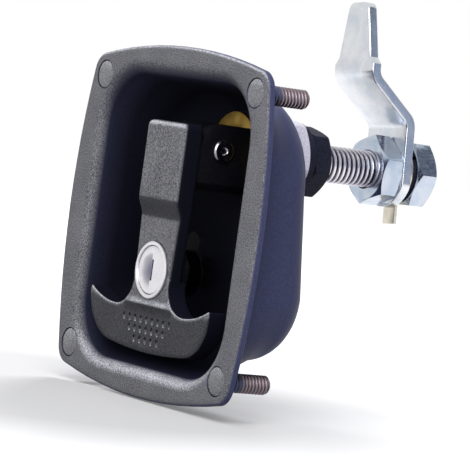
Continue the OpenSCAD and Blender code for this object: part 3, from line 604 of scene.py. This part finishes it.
# %% Pan skin
rings = floor_rings(WALL) + [dish_ring(WALL, lean) for lean in range(90, -1, -10)]
throat = mouth_ring(0, FLANGE_FRONT + LIP)
rings += [between(rings[-1], throat, share) for share in (0.25, 0.5, 0.75, 0.9)]
for step in range(9):
    roll = math.radians(90 - 90 * step / 8)
    rings.append(mouth_ring(LIP * (1 - math.sin(roll)), FLANGE_FRONT + LIP * (1 - math.cos(roll))))
rim = flange_ring(1.0, FLANGE_FRONT)
rings += [between(rings[-1], rim, share) for share in (0.33, 0.67)]
for step in range(6):
    roll = math.radians(90 * step / 5)
    rings.append(flange_ring(1.0 - math.sin(roll), FLANGE_FRONT + 1.0 - math.cos(roll)))
rings += [flange_ring(0, -0.3), flange_ring(0.3, 0)]
for step in range(5):
    roll = math.radians(90 * step / 4)
    rings.append(mouth_ring(WALL + 1.5 * (1 - math.sin(roll)), 1.5 * (1 - math.cos(roll))))
outer = [dish_ring(0, lean) for lean in range(0, 91, 10)]
rings += [between(rings[-1], outer[0], share) for share in (0.25, 0.5, 0.75)] + outer + floor_rings(0)[::-1]
pan = skinned(rings)
print("pan skin:", len(rings), "rings of", len(rings[0]), "points")

# %% [markdown]
# A round hub stiffens the floor where the shaft passes. The hub, its bore and the seats of the stud heads are
# turned bodies that are joined to the skin or cut from it.

# %% Hub, bore and stud seats of the pan
bore_r = 9.05
hub = turned([(0, 24.3), (13.7, 24.3), (14.2, 24.8), (14.2, 29.5), (15.8, 29.5), (15.8, 31.5), (15.3, 32),
              (0, 32)], (0, 0, SHAFT_Z), steps=72)
combine(pan, hub, "UNION")
combine(pan, turned([(0, 20), (bore_r, 20), (bore_r, 36), (0, 36)], (0, 0, SHAFT_Z)), "DIFFERENCE")
STUD_AT = [(x, z) for x in (-46, 46) for z in (-46, 46)]
SEAT = [(0, -3.5), (5.4, -3.5), (4.85, -2.2), (4.85, -1.2), (3.6, -1.2), (3.6, 1), (0, 1)]
seats = [turned(SEAT, (x, 0, z), steps=40) for x, z in STUD_AT]
combine(pan, join(*seats), "DIFFERENCE")
hand_in(close_up(pan), "pan_shell", "pan", "housing", powder_coat)

# %% [markdown]
# Four studs are pressed through the flange. Their flat heads lie flush in its face and were painted with it,
# as far as the roots of the threads behind. One stud is made with a real thread and copied into each corner.

# %% Panel studs
stud_end = span("panel_studs", "y")[1]
stud = threaded(3.175, 2.6, 1.27, 0.4, stud_end, 0.8, columns=28, rows_in_pitch=8)
head = turned([(0, -2.42), (4.2, -2.42), (4.55, -2.3), (4.72, -2.0), (4.72, -1.2), (3.575, -1.2), (3.575, 0),
               (3.17, 0), (3.17, 1.4), (0, 1.4)], (0, 0, 0), steps=40)
combine(stud, head, "UNION")
studs = []
for x, z in STUD_AT:
    copy = bpy.data.objects.new("stud", stud.data.copy())
    bpy.context.scene.collection.objects.link(copy)
    studs.append(move(copy, (x, 0, z)))
bpy.data.objects.remove(stud)
paint, tree, shader = finish("stud_steel", 1.0, Roughness=0.42)
# The thread has a painted highlight on its crests and painted shade in its valleys; its painted root takes the
# coat's colour, painted light included.
crest = use(tree, crest_group, Axis_x=0.046, Axis_z=0.046, Valley=0.0026, Crest=0.0031)
steel = node(tree, "Mix", {"Factor": crest.outputs["Mask"]}, data_type="RGBA")
steel.inputs["A"].default_value = (0.08, 0.065, 0.07, 1)
steel.inputs["B"].default_value = (0.26, 0.21, 0.23, 1)
along = node(tree, "SeparateXYZ", {0: node(tree, "TexCoord").outputs["Object"]}).outputs["Y"]
painted = node(tree, "MapRange", {"Value": along, "From Min": 5.5 * MM, "From Max": 7 * MM,
                                  "To Min": 1.0, "To Max": 0.0})
coat_colour = coat_with_painted_light(tree, False, *PAN_TILT)[0]
colour = node(tree, "Mix", {"Factor": painted.outputs[0]}, data_type="RGBA")
tree.links.new(steel.outputs["Result"], colour.inputs["A"])
tree.links.new(coat_colour, colour.inputs["B"])
tree.links.new(colour.outputs["Result"], shader.inputs["Base Color"])
bare = node(tree, "Math", {0: 1.0, 1: painted.outputs[0]}, operation="SUBTRACT")
tree.links.new(bare.outputs[0], shader.inputs["Metallic"])
stud_steel = paint
hand_in(join(*studs), "stud_set", "panel_studs", "housing", stud_steel, angle=40)

# %% [markdown]
# The handle is die cast. Its upper stem stands proud and slopes down to the lower stem, which spreads into a
# whale tail for two fingers. The three solids are joined and then remeshed with small voxels, because one soft
# skin over the joins is what a casting with generous radii looks like.

# %% Stem of the handle
def prism(outline, axis, low, high):
    """Extrudes a flat outline along x from points (y, z), or along y from points (x, z), in millimetres."""
    bpy.ops.object.select_all(action="DESELECT")
    bpy.ops.mesh.primitive_circle_add(vertices=len(outline), fill_type="NGON")
    obj = bpy.context.object
    for vertex, (a, b) in zip(obj.data.vertices, outline):
        vertex.co = Vector((low, a, b) if axis == "x" else (a, low, b)) * MM
    bpy.ops.object.mode_set(mode="EDIT")
    bpy.ops.mesh.select_all(action="SELECT")
    way = Vector((1, 0, 0) if axis == "x" else (0, 1, 0)) * (high - low) * MM
    bpy.ops.mesh.extrude_region_move(TRANSFORM_OT_translate={"value": way})
    bpy.ops.object.mode_set(mode="OBJECT")
    return close_up(obj)


def stem_ring(z, half, front_y, rear_y, round_r):
    """A level cut through the stem: round corners in front, sharper ones behind."""
    points = [(half - round_r + x, front_y + round_r + y) for y, x in arc(0, 0, round_r, 180, 90, 8)]
    points += [(half - 0.8 + x, rear_y - 0.8 + y) for x, y in arc(0, 0, 0.8, 0, 90, 4)]
    return [(x, y, z) for x, y in points] + [(-x, y, z) for x, y in points[::-1]]


RAISED_Y, STEM_Y, STEM_REAR = span("t_handle", "y")[0], -2.4, 2.6
STEM_TOP, RIDGE_Z = span("t_handle", "z")[1], -27.5
rings = [stem_ring(z, half, STEM_Y, STEM_REAR, 1.2) for z, half in ((-26, 10.9), (-20, 10.75), (-9, 11.3))]
for step in range(13):
    share = step / 12
    rise = (1 - math.cos(math.pi * share)) / 2
    rings.append(stem_ring(1.6 + 6.2 * share, 11.9 + 0.1 * share, STEM_Y + (RAISED_Y - STEM_Y) * rise,
                           STEM_REAR, 1.3))
TOP_R = 2.0
for step in range(9):
    roll = math.radians(82 * step / 8)
    inset = TOP_R * (1 - math.cos(roll))
    rings.append(stem_ring(STEM_TOP - TOP_R * (1 - math.sin(roll)), 12 - inset, RAISED_Y + inset,
                           STEM_REAR, 1.3))
handle = skinned(rings)
print("stem:", len(rings), "rings")

# %% [markdown]
# The tail's outline is drawn from arcs: out of the stem, up to a pointed tip, round the end and along a wide bow
# below. The right half is drawn once and mirrored.

# %% Whale tail
TAIL_HALF, TAIL_LOW = span("t_handle", "x")[1], span("t_handle", "z")[0]
TAIL_R, BOTTOM_R, TIP_R, WAIST_X, WAIST_Z, TIP_Z, JOIN_Z = 15.5, 193, 1.6, 20.5, -29.0, -24.5, -20.5
in_r = ((WAIST_X - 10.75) ** 2 + (JOIN_Z - WAIST_Z) ** 2) / (2 * (JOIN_Z - WAIST_Z))
out_r = ((TAIL_HALF - WAIST_X) ** 2 + (TIP_Z - WAIST_Z) ** 2) / (2 * (TIP_Z - WAIST_Z))
corner_x = TAIL_HALF - TAIL_R
corner_z = TAIL_LOW + BOTTOM_R - math.sqrt((BOTTOM_R - TAIL_R) ** 2 - corner_x ** 2)
low_turn = math.degrees(math.atan2(corner_z - TAIL_LOW - BOTTOM_R, corner_x))
right = [(0, JOIN_Z + 2), (10.75, JOIN_Z + 2)]
in_turn = math.degrees(math.asin(1 - (JOIN_Z - WAIST_Z) / in_r))
out_turn = math.degrees(math.asin((TAIL_HALF - WAIST_X - 0.8) / out_r))
right += arc(WAIST_X, WAIST_Z + in_r, in_r, 180 + in_turn, 270, 14)
right += arc(WAIST_X, WAIST_Z + out_r, out_r, -90, -90 + out_turn, 12)[1:]
right += arc(TAIL_HALF - TIP_R, max(TIP_Z - TIP_R, corner_z), TIP_R, 50, 0, 6)
right += arc(corner_x, corner_z, TAIL_R, 0, low_turn, 14)[1:]
right += arc(0, TAIL_LOW + BOTTOM_R, BOTTOM_R, low_turn, -90, 10)[1:]
left = [(-x, z) for x, z in right[1:-1]]
tail = soften(prism(right + left[::-1], "y", STEM_Y, 4.8), 1.2, angle=60, segments=4)
print("tail outline:", len(right + left), "points")

# %% [markdown]
# Below its ridge the tail's face leans back by four degrees, and a lug behind the stem takes the pivot pin. The
# ridge is raised last, by moving points after the remesh.

# %% Tilt of the tail, lug and ridge
TAIL_LEAN = math.tan(math.radians(4))
PIVOT_Y = 11.4
only(tail)
bpy.ops.object.mode_set(mode="EDIT")
bpy.ops.mesh.select_all(action="SELECT")
bpy.ops.mesh.bisect(plane_co=(0, 0, RIDGE_Z * MM), plane_no=(0, 0, 1), threshold=1e-7)
bpy.ops.object.mode_set(mode="OBJECT")
for vertex in tail.data.vertices:
    if vertex.co.y < 0:
        vertex.co.y += max(0, RIDGE_Z - vertex.co.z / MM) * TAIL_LEAN * MM
lug_side = arc(PIVOT_Y, SHAFT_Z, 7, 90, -90, 24)
lug_side += [(STEM_REAR - 1, SHAFT_Z - 7), (STEM_REAR - 1, SHAFT_Z + 7)]
lug = prism(lug_side, "x", -5, 5)
combine(handle, tail, "UNION")
combine(handle, lug, "UNION")
modify(handle, "REMESH", mode="VOXEL", voxel_size=0.36 * MM)
modify(handle, "SMOOTH", factor=0.5, iterations=8)
for vertex in handle.data.vertices:
    x, y, z = vertex.co / MM
    if y < -1:
        fade = min(1, max(0, (15 - abs(x)) / 5))
        vertex.co.y -= 0.6 * fade * math.exp(-((z - RIDGE_Z) / 1.2) ** 2) * MM
print("handle skin:", len(handle.data.polygons), "faces")

# %% [markdown]
# The lock's hole and the pin's bore are turned bodies that are cut away. The grip slots narrow towards their
# floors, as cast ones do, so each is skinned from three levels.

# %% Lock hole, pin bore and grip slots of the handle
LOCK_Z = middle("lock_housing", "z")
seat = turned([(0, -6), (9.6, -6), (9.6, -0.9), (7.95, -0.9), (7.95, 2.6), (10.6, 2.6), (10.6, 8), (0, 8)],
              (0, 0, LOCK_Z))
combine(handle, seat, "DIFFERENCE")
pin_bore = turned([(0, -6), (3.05, -6), (3.05, 6), (0, 6)], (0, PIVOT_Y, SHAFT_Z), axis=(1, 0, 0))
combine(handle, pin_bore, "DIFFERENCE")
slots = []
for row, count in enumerate((9, 7, 5)):
    fall = 5 + 3.4 * row
    bottom = STEM_Y + fall * TAIL_LEAN + 0.6
    for i in range(count):
        x = (i - (count - 1) / 2) * 3.5
        levels = []
        for y, wide in ((STEM_Y - 1, 0.95), (bottom - 0.6, 0.7), (bottom - 0.1, 0.2)):
            z = RIDGE_Z - fall
            outline = arc(x, z + 0.6, wide, 0, 180, 6) + arc(x, z - 0.6, wide, 180, 360, 6)
            levels.append([(px, y, pz) for px, pz in outline])
        slots.append(skinned(levels))
combine(handle, join(*slots), "DIFFERENCE")
hand_in(close_up(handle), "whale_tail_handle", "t_handle", "handle", handle_coat, angle=40)

# %% [markdown]
# The lock is a bright plated insert. Its housing shows only as a raised rim; inside lies the plug's cap, with an
# upright key slot and a shallow scoop that covers its left half.

# %% Lock housing and plug
RIM_Y, LOCK_REAR = span("lock_housing", "y")
housing = turned([(8.12, -1.7), (8.12, -2.9), (8.3, -3.2), (8.7, RIM_Y), (9.1, RIM_Y), (9.42, -3.1),
                  (9.5, -2.8), (9.5, -0.9), (7.9, -0.9), (7.9, LOCK_REAR), (5.6, LOCK_REAR), (5.6, -1.7)],
                 (0, 0, LOCK_Z), steps=96)
hand_in(housing, "lock_rim", "lock_housing", "handle", lock_nickel)

CAP_Y = span("lock_plug", "y")[0]
PLUG_COLUMNS = 96


def scooped(x, z):
    """Depth of the scoop, which covers the left half of the cap."""
    if x > -0.01:
        return 0
    return 1.0 * math.sqrt(max(0, 1 - (x / 6) ** 2 - (z / 5.4) ** 2))


rings = []
profile = [(0.06 + 0.58 * k, CAP_Y) for k in range(14)]
profile += [(7.9, -2.8), (8.0, -2.6), (8.0, -1.8), (5.5, -1.8), (5.5, 11.9), (0.06, 11.9)]
for radius, y in profile:
    circle = arc(0, 0, radius, 0, 360, PLUG_COLUMNS)[:-1]
    rings.append([(x, y + (scooped(x, z) if y == CAP_Y else 0), LOCK_Z + z) for x, z in circle])
plug = skinned(rings)
key_slot = [(-1, LOCK_Z - 3.5), (1, LOCK_Z - 3.5), (1, LOCK_Z + 3.5), (-1, LOCK_Z + 3.5)]
combine(plug, prism(key_slot, "y", CAP_Y - 1, 9), "DIFFERENCE")
hand_in(close_up(plug), "lock_cylinder", "lock_plug", "lock_core", lock_nickel)

# %% [markdown]
# The shaft is a rod with a real thread of the measured pitch and a plain, stepped front end. Its crests carry a
# painted highlight and its valleys painted shade, which the crest mask tells apart.

# %% Shaft
shaft_y, shaft_end = span("shaft", "y")
shaft = threaded(6.35, 5.2, 1.954, 30, shaft_end, 1.0, columns=56, rows_in_pitch=10)
journal = [(0, shaft_y), (4.5, shaft_y), (4.5, 22.2), (6.3, 22.2), (6.3, 31), (0, 31)]
combine(shaft, turned(journal, (0, 0, 0), steps=56), "UNION")
move(shaft, (0, 0, SHAFT_Z))
paint, tree, shader = finish("shaft_steel", 1.0)
# The thread has a painted highlight on its crests and painted shade in its valleys.
crest = use(tree, crest_group, Axis_z=SHAFT_Z * MM, Valley=0.0056, Crest=0.0062)
bloom = use(tree, bloom_group, Cool=(0.64, 0.62, 0.7, 1), Warm=(0.76, 0.73, 0.76, 1),
            Rough_low=0.24, Rough_high=0.4)
colour = node(tree, "Mix", {"Factor": crest.outputs["Mask"]}, data_type="RGBA")
colour.inputs["A"].default_value = (0.05, 0.045, 0.05, 1)
tree.links.new(bloom.outputs["Color"], colour.inputs["B"])
tree.links.new(colour.outputs["Result"], shader.inputs["Base Color"])
tree.links.new(bloom.outputs["Roughness"], shader.inputs["Roughness"])
shaft_steel = paint
hand_in(close_up(shaft), "threaded_shaft", "shaft", "rotor", shaft_steel, angle=40)

# %% [markdown]
# A hex is a six-sided prism crossed with a turned ring, which gives the curved chamfer lines that every machined
# nut has. The prism is a little longer than the ring, so that no two faces lie on each other.

# %% Hex nuts and collar
def hex_piece(name, at, across, turn, hole, body, paint, ends=(True, True), edge=0.25, bevel=0.25):
    """A hex of a solid's length, chamfered at its front and rear ends as asked."""
    low, high = span(at, "y")
    corner = across / math.sqrt(3)
    face, drop = across / 2 - bevel, (corner - across / 2 + bevel) * 0.6
    sides = arc(0, SHAFT_Z, corner, turn, turn + 300, 5)
    hexagon = soften(prism(sides, "y", low - 1, high + 1), edge)
    out = corner + 1
    fall = drop * (out - face) / (corner - face)
    profile = [(hole + 0.5, low)]
    profile += [(face, low), (out, low + fall)] if ends[0] else [(out, low)]
    profile += [(out, high - fall), (face, high)] if ends[1] else [(out, high)]
    profile += [(hole + 0.5, high), (hole, high - 0.5), (hole, low + 0.5)]
    combine(hexagon, turned(profile, (0, 0, SHAFT_Z), steps=96), "INTERSECT")
    return hand_in(close_up(hexagon), name, at, body, paint, angle=25)


hex_piece("hex_collar", "spacer_collar", 26.4, 50, 9.05, "housing", cast_grey, (False, True),
          edge=0.7, bevel=0.7)
hex_piece("retaining_hex", "retaining_nut", 21.4, 46, 6.36, "rotor", black_oxide,
          edge=0.6, bevel=1.0)
hex_piece("front_hex", "front_nut", 21.4, 21, 6.36, "rotor", bright_zinc)
hex_piece("rear_hex", "rear_nut", 21.4, 2, 6.36, "rotor", bright_zinc)

# %% [markdown]
# The cam is a flat bar with two bends. Its section, a flat with slightly broken edges, is carried along the bent
# centre line; the bends are arcs, as a press brake leaves them.

# %% Cam
CAM_T, CAM_R, FOOT_R, CAM_HALF, CAM_TOP, CAM_LEAN = 3.6, 5.2, 12.25, 11.15, SHAFT_Z + 56.28, 5
STEP_LOW, STEP_HIGH = SHAFT_Z + 35.2, SHAFT_Z + 37.4
near_y, far_y = span("cam", "y")[1] - CAM_T / 2, span("cam", "y")[0] + CAM_T / 2
bend = math.atan2(near_y - far_y, 13.8)
lift = CAM_T / 2 * math.tan(bend / 2)
first, second = Vector((near_y, SHAFT_Z + 16.2 + lift)), Vector((far_y, SHAFT_Z + 30 + lift))
tangent = CAM_R * math.tan(bend / 2)


def cam_half(z):
    """Half of the cam's width at a height."""
    if z < SHAFT_Z:
        return min(CAM_HALF, math.sqrt(max(0.3, FOOT_R ** 2 - (z - SHAFT_Z) ** 2)))
    if z < STEP_HIGH:
        return CAM_HALF - 2.0 * max(0, z - STEP_LOW) / (STEP_HIGH - STEP_LOW)
    taper = CAM_HALF - 2.0 - 3.75 * (z - STEP_HIGH) / (CAM_TOP - STEP_HIGH)
    over = max(0, z - (CAM_TOP - 2.4))
    return taper - 2.4 + math.sqrt(max(0, 2.4 ** 2 - over ** 2))


path = [(Vector((near_y, SHAFT_Z - FOOT_R * math.cos(math.radians(a)))), 0.0) for a in range(6, 91, 6)]
path += [(Vector((near_y, z)), 0.0) for z in (30, 34, 37)]
for step in range(11):
    turn = bend * step / 10
    centre = first + Vector((-CAM_R, -tangent))
    path.append((centre + CAM_R * Vector((math.cos(turn), math.sin(turn))), turn))
for step in range(11):
    turn = bend * (1 - step / 10)
    centre = second + Vector((CAM_R, tangent))
    path.append((centre - CAM_R * Vector((math.cos(turn), math.sin(turn))), turn))
path += [(Vector((far_y, z)), 0.0) for z in (STEP_LOW, STEP_HIGH, 67, 71, 75)]
path += [(Vector((far_y, CAM_TOP - 2.4 + 2.4 * math.sin(math.radians(a)))), 0.0)
         for a in (0, 15, 30, 45, 60, 75, 87)]
lean = Matrix.Rotation(math.radians(-CAM_LEAN), 3, "Y")
pivot = Vector((0, 0, SHAFT_Z))
rings = []
for spot, turn in path:
    half, across = cam_half(spot.y), Vector((math.cos(turn), math.sin(turn)))
    corner = [(half - 0.5 + x, CAM_T / 2 - 0.5 + t) for x, t in arc(0, 0, 0.5, 0, 90, 3)]
    section = corner + [(-x, t) for x, t in corner[::-1]]
    section += [(-x, -t) for x, t in corner] + [(x, -t) for x, t in corner[::-1]]
    level = [Vector((x, spot.x + across.x * t, spot.y + across.y * t)) for x, t in section]
    rings.append([tuple(pivot + lean @ (point - pivot)) for point in level])
cam = skinned(rings)
combine(cam, turned([(0, 80), (6.45, 80), (6.45, 95), (0, 95)], (0, 0, SHAFT_Z)), "DIFFERENCE")
hand_in(close_up(cam), "cranked_cam", "cam", "rotor", cam_zinc, angle=30)

# %% [markdown]
# The remaining pieces are small. Turned ones are spun again with broken edges; the yoke and the stamped pieces
# are copies of their solids with merged points and a small bevel, since their outlines are already right.

# %% Pivot pin and washers
pin_low, pin_high = span("pivot_pin", "x")
pin_side = [(0, pin_low), (2.6, pin_low), (3, pin_low + 0.4), (3, 10.8), (3.9, 10.8), (3.9, 11.7)]
pin_side += [(3.7, 12.05), (3.3, pin_high), (1.3, pin_high), (1.1, 12.1), (0.9, 11.7), (0, 11.6)]
pin = turned(pin_side, (0, PIVOT_Y, SHAFT_Z), axis=(1, 0, 0), steps=48)
hand_in(pin, "pivot_pin_turned", "pivot_pin", "rotor", pin_steel)


def washer(name, at, inner, outer, body, paint, edge=0.35):
    """A flat ring of a solid's length with broken edges."""
    low, high = span(at, "y")
    ring_piece = turned([(inner, low), (outer - edge, low), (outer, low + edge), (outer, high - edge),
                         (outer - edge, high), (inner, high)], (0, 0, SHAFT_Z), steps=80)
    return hand_in(ring_piece, name, at, body, paint)


washer("black_washer", "retaining_washer", 6.5, 12.5, "rotor", black_oxide)


def softened(at, name, width, body, paint, angle=30):
    """A copy of a solid with merged points, clean flats and a small bevel."""
    obj = bpy.data.objects.new(name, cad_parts[at].data.copy())
    bpy.context.scene.collection.objects.link(obj)
    close_up(obj)
    bpy.ops.object.mode_set(mode="EDIT")
    bpy.ops.mesh.select_all(action="SELECT")
    bpy.ops.mesh.dissolve_limited(angle_limit=math.radians(1))
    bpy.ops.object.mode_set(mode="OBJECT")
    soften(obj, width, angle)
    return hand_in(close_up(obj), name, at, body, paint)


# The yoke and the keeper lie in the dish's shadow and take the black with painted shade.
softened("yoke", "yoke_block", 0.5, "rotor", shaded_black_oxide)
softened("tab_washer", "lock_tab", 0.15, "rotor", tab_zinc)
softened("spring_washer", "split_washer", 0.2, "rotor", black_oxide)
softened("bearing_sleeve", "flanged_sleeve", 0.25, "housing", yellow_zinc)
softened("lock_keeper", "keeper_bracket", 0.3, "housing", shaded_black_oxide)

# %% [markdown]
# The pieces that are left are plain or hidden, so their solids stay and only take a finish.

# %% Finishes of the solids that stay as they are
# The rivets, lock nut, lock tail and tail screw take the black with painted shade too.
for at, paint in (("shaft_seal", seal_rubber), ("keeper_rivets", shaded_black_oxide), ("pivot_clip", keeper_steel),
                  ("friction_washers", nylon), ("lock_nut", shaded_black_oxide), ("lock_tail", shaded_black_oxide),
                  ("tail_screw", shaded_black_oxide), ("wafers", wafer_brass)):
    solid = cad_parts[at]
    solid.data.materials.clear()
    solid.data.materials.append(paint)
print("pieces made:", len(made_pieces), "faces:", sum(len(o.data.polygons) for o in made_pieces))

# %% [markdown]
# The photograph has a plain white ground with a soft shadow. The floor is a grey plane that keeps the shadow and
# glows towards white away from it, for the camera and for reflections.

# %% Floor
def seen_rays(tree):
    """One for what is seen straight, mirrored or through something, and zero for scattered light."""
    rays = node(tree, "LightPath")
    seen = node(tree, "Math", {0: rays.outputs["Is Camera Ray"], 1: rays.outputs["Is Glossy Ray"]},
                operation="MAXIMUM")
    return node(tree, "Math", {0: seen.outputs[0], 1: rays.outputs["Is Transmission Ray"]},
                operation="MAXIMUM").outputs[0]


floor_z = cad_low.z - 0.0004
bpy.ops.object.select_all(action="DESELECT")
bpy.ops.mesh.primitive_plane_add(size=8, location=(0, 0, floor_z))
floor = bpy.context.object
floor.name = "floor"
paint = bpy.data.materials.new("floor")
paint.use_nodes = True
tree = paint.node_tree
tree.nodes.clear()
matt = node(tree, "BsdfDiffuse", {"Color": (0.38, 0.38, 0.39, 1)})
seen = seen_rays(tree)
spot = node(tree, "TexCoord").outputs["Object"]
left = node(tree, "VectorMath", {0: spot, 1: (0.025, 0.035, 0)}, operation="ADD")
away = node(tree, "VectorMath", {0: left.outputs[0]}, operation="LENGTH")
level = node(tree, "MapRange", {"Value": away.outputs["Value"], "From Min": 0.1, "From Max": 0.22,
                                "To Min": 0.16, "To Max": 0.6})
far = node(tree, "MapRange", {"Value": away.outputs["Value"], "From Min": 0.2, "From Max": 1.4})
level = node(tree, "Math", {0: level.outputs[0], 1: far.outputs[0]}, operation="MAXIMUM")
level = node(tree, "Math", {0: seen, 1: level.outputs[0]}, operation="MULTIPLY")
glow = node(tree, "Emission", {"Color": (1, 1, 1, 1), "Strength": level.outputs[0]})
both = node(tree, "AddShader", {0: matt.outputs[0], 1: glow.outputs[0]})
node(tree, "OutputMaterial", {"Surface": both.outputs[0]})
floor.data.materials.append(paint)
print("floor at", round(floor_z / MM, 1), "mm")

# %% [markdown]
# Bright metal shows what stands round it. A pale blue card behind and to the right gives it something other than
# white to show; the camera doesn't see the card itself.

# %% Card for reflections
bpy.ops.object.select_all(action="DESELECT")
bpy.ops.mesh.primitive_plane_add(size=2.4, location=(1.49, 1.0, floor_z + 1.2),
                                 rotation=(math.radians(90), 0, math.radians(-56)))
card = bpy.context.object
card.name = "blue_card"
bpy.ops.object.transform_apply(location=True, rotation=True, scale=True)
paint, tree, shader = finish("card", 0.0, Roughness=0.9, Specular_IOR_Level=0.0)
shader.inputs["Base Color"].default_value = (0.5, 0.58, 0.76, 1)
card.data.materials.append(paint)
card.visible_camera = False
print("card:", card.name)

# %% [markdown]
# Three soft lamps and a dim room light the latch. The room is white to the camera and to reflections, and two of
# the lamps are left out of reflections, so that the metal doesn't show them.

# %% Room and lamps
world = bpy.data.worlds.new("studio")
bpy.context.scene.world = world
world.use_nodes = True
tree = world.node_tree
tree.nodes.clear()
level = node(tree, "MapRange", {"Value": seen_rays(tree), "To Min": 0.2, "To Max": 1.0})
sky = node(tree, "Background", {"Color": (1, 1, 1, 1), "Strength": level.outputs[0]})
node(tree, "OutputWorld", {"Surface": sky.outputs[0]})


def softbox(name, place, target, size, watts):
    lamp = bpy.data.objects.new(name, bpy.data.lights.new(name, "AREA"))
    bpy.context.scene.collection.objects.link(lamp)
    lamp.data.size, lamp.data.energy = size, watts
    lamp.location = place
    lamp.rotation_mode = "QUATERNION"
    lamp.rotation_quaternion = (Vector(target) - Vector(place)).to_track_quat("-Z", "Y")
    return lamp


overhead = softbox("overhead", (0.3, -0.36, 1.2), (0, 0.02, 0), 1.0, 17)
front = softbox("front", (0.75, -0.68, 0.45), (0, 0.02, 0), 0.8, 12)
rear = softbox("rear", (-0.72, 0.8, 0.85), (0, 0.05, 0), 0.5, 24)
for lamp in (overhead, rear):
    lamp.visible_glossy = False
bpy.context.scene.view_settings.view_transform = "Standard"
print("stage ready")
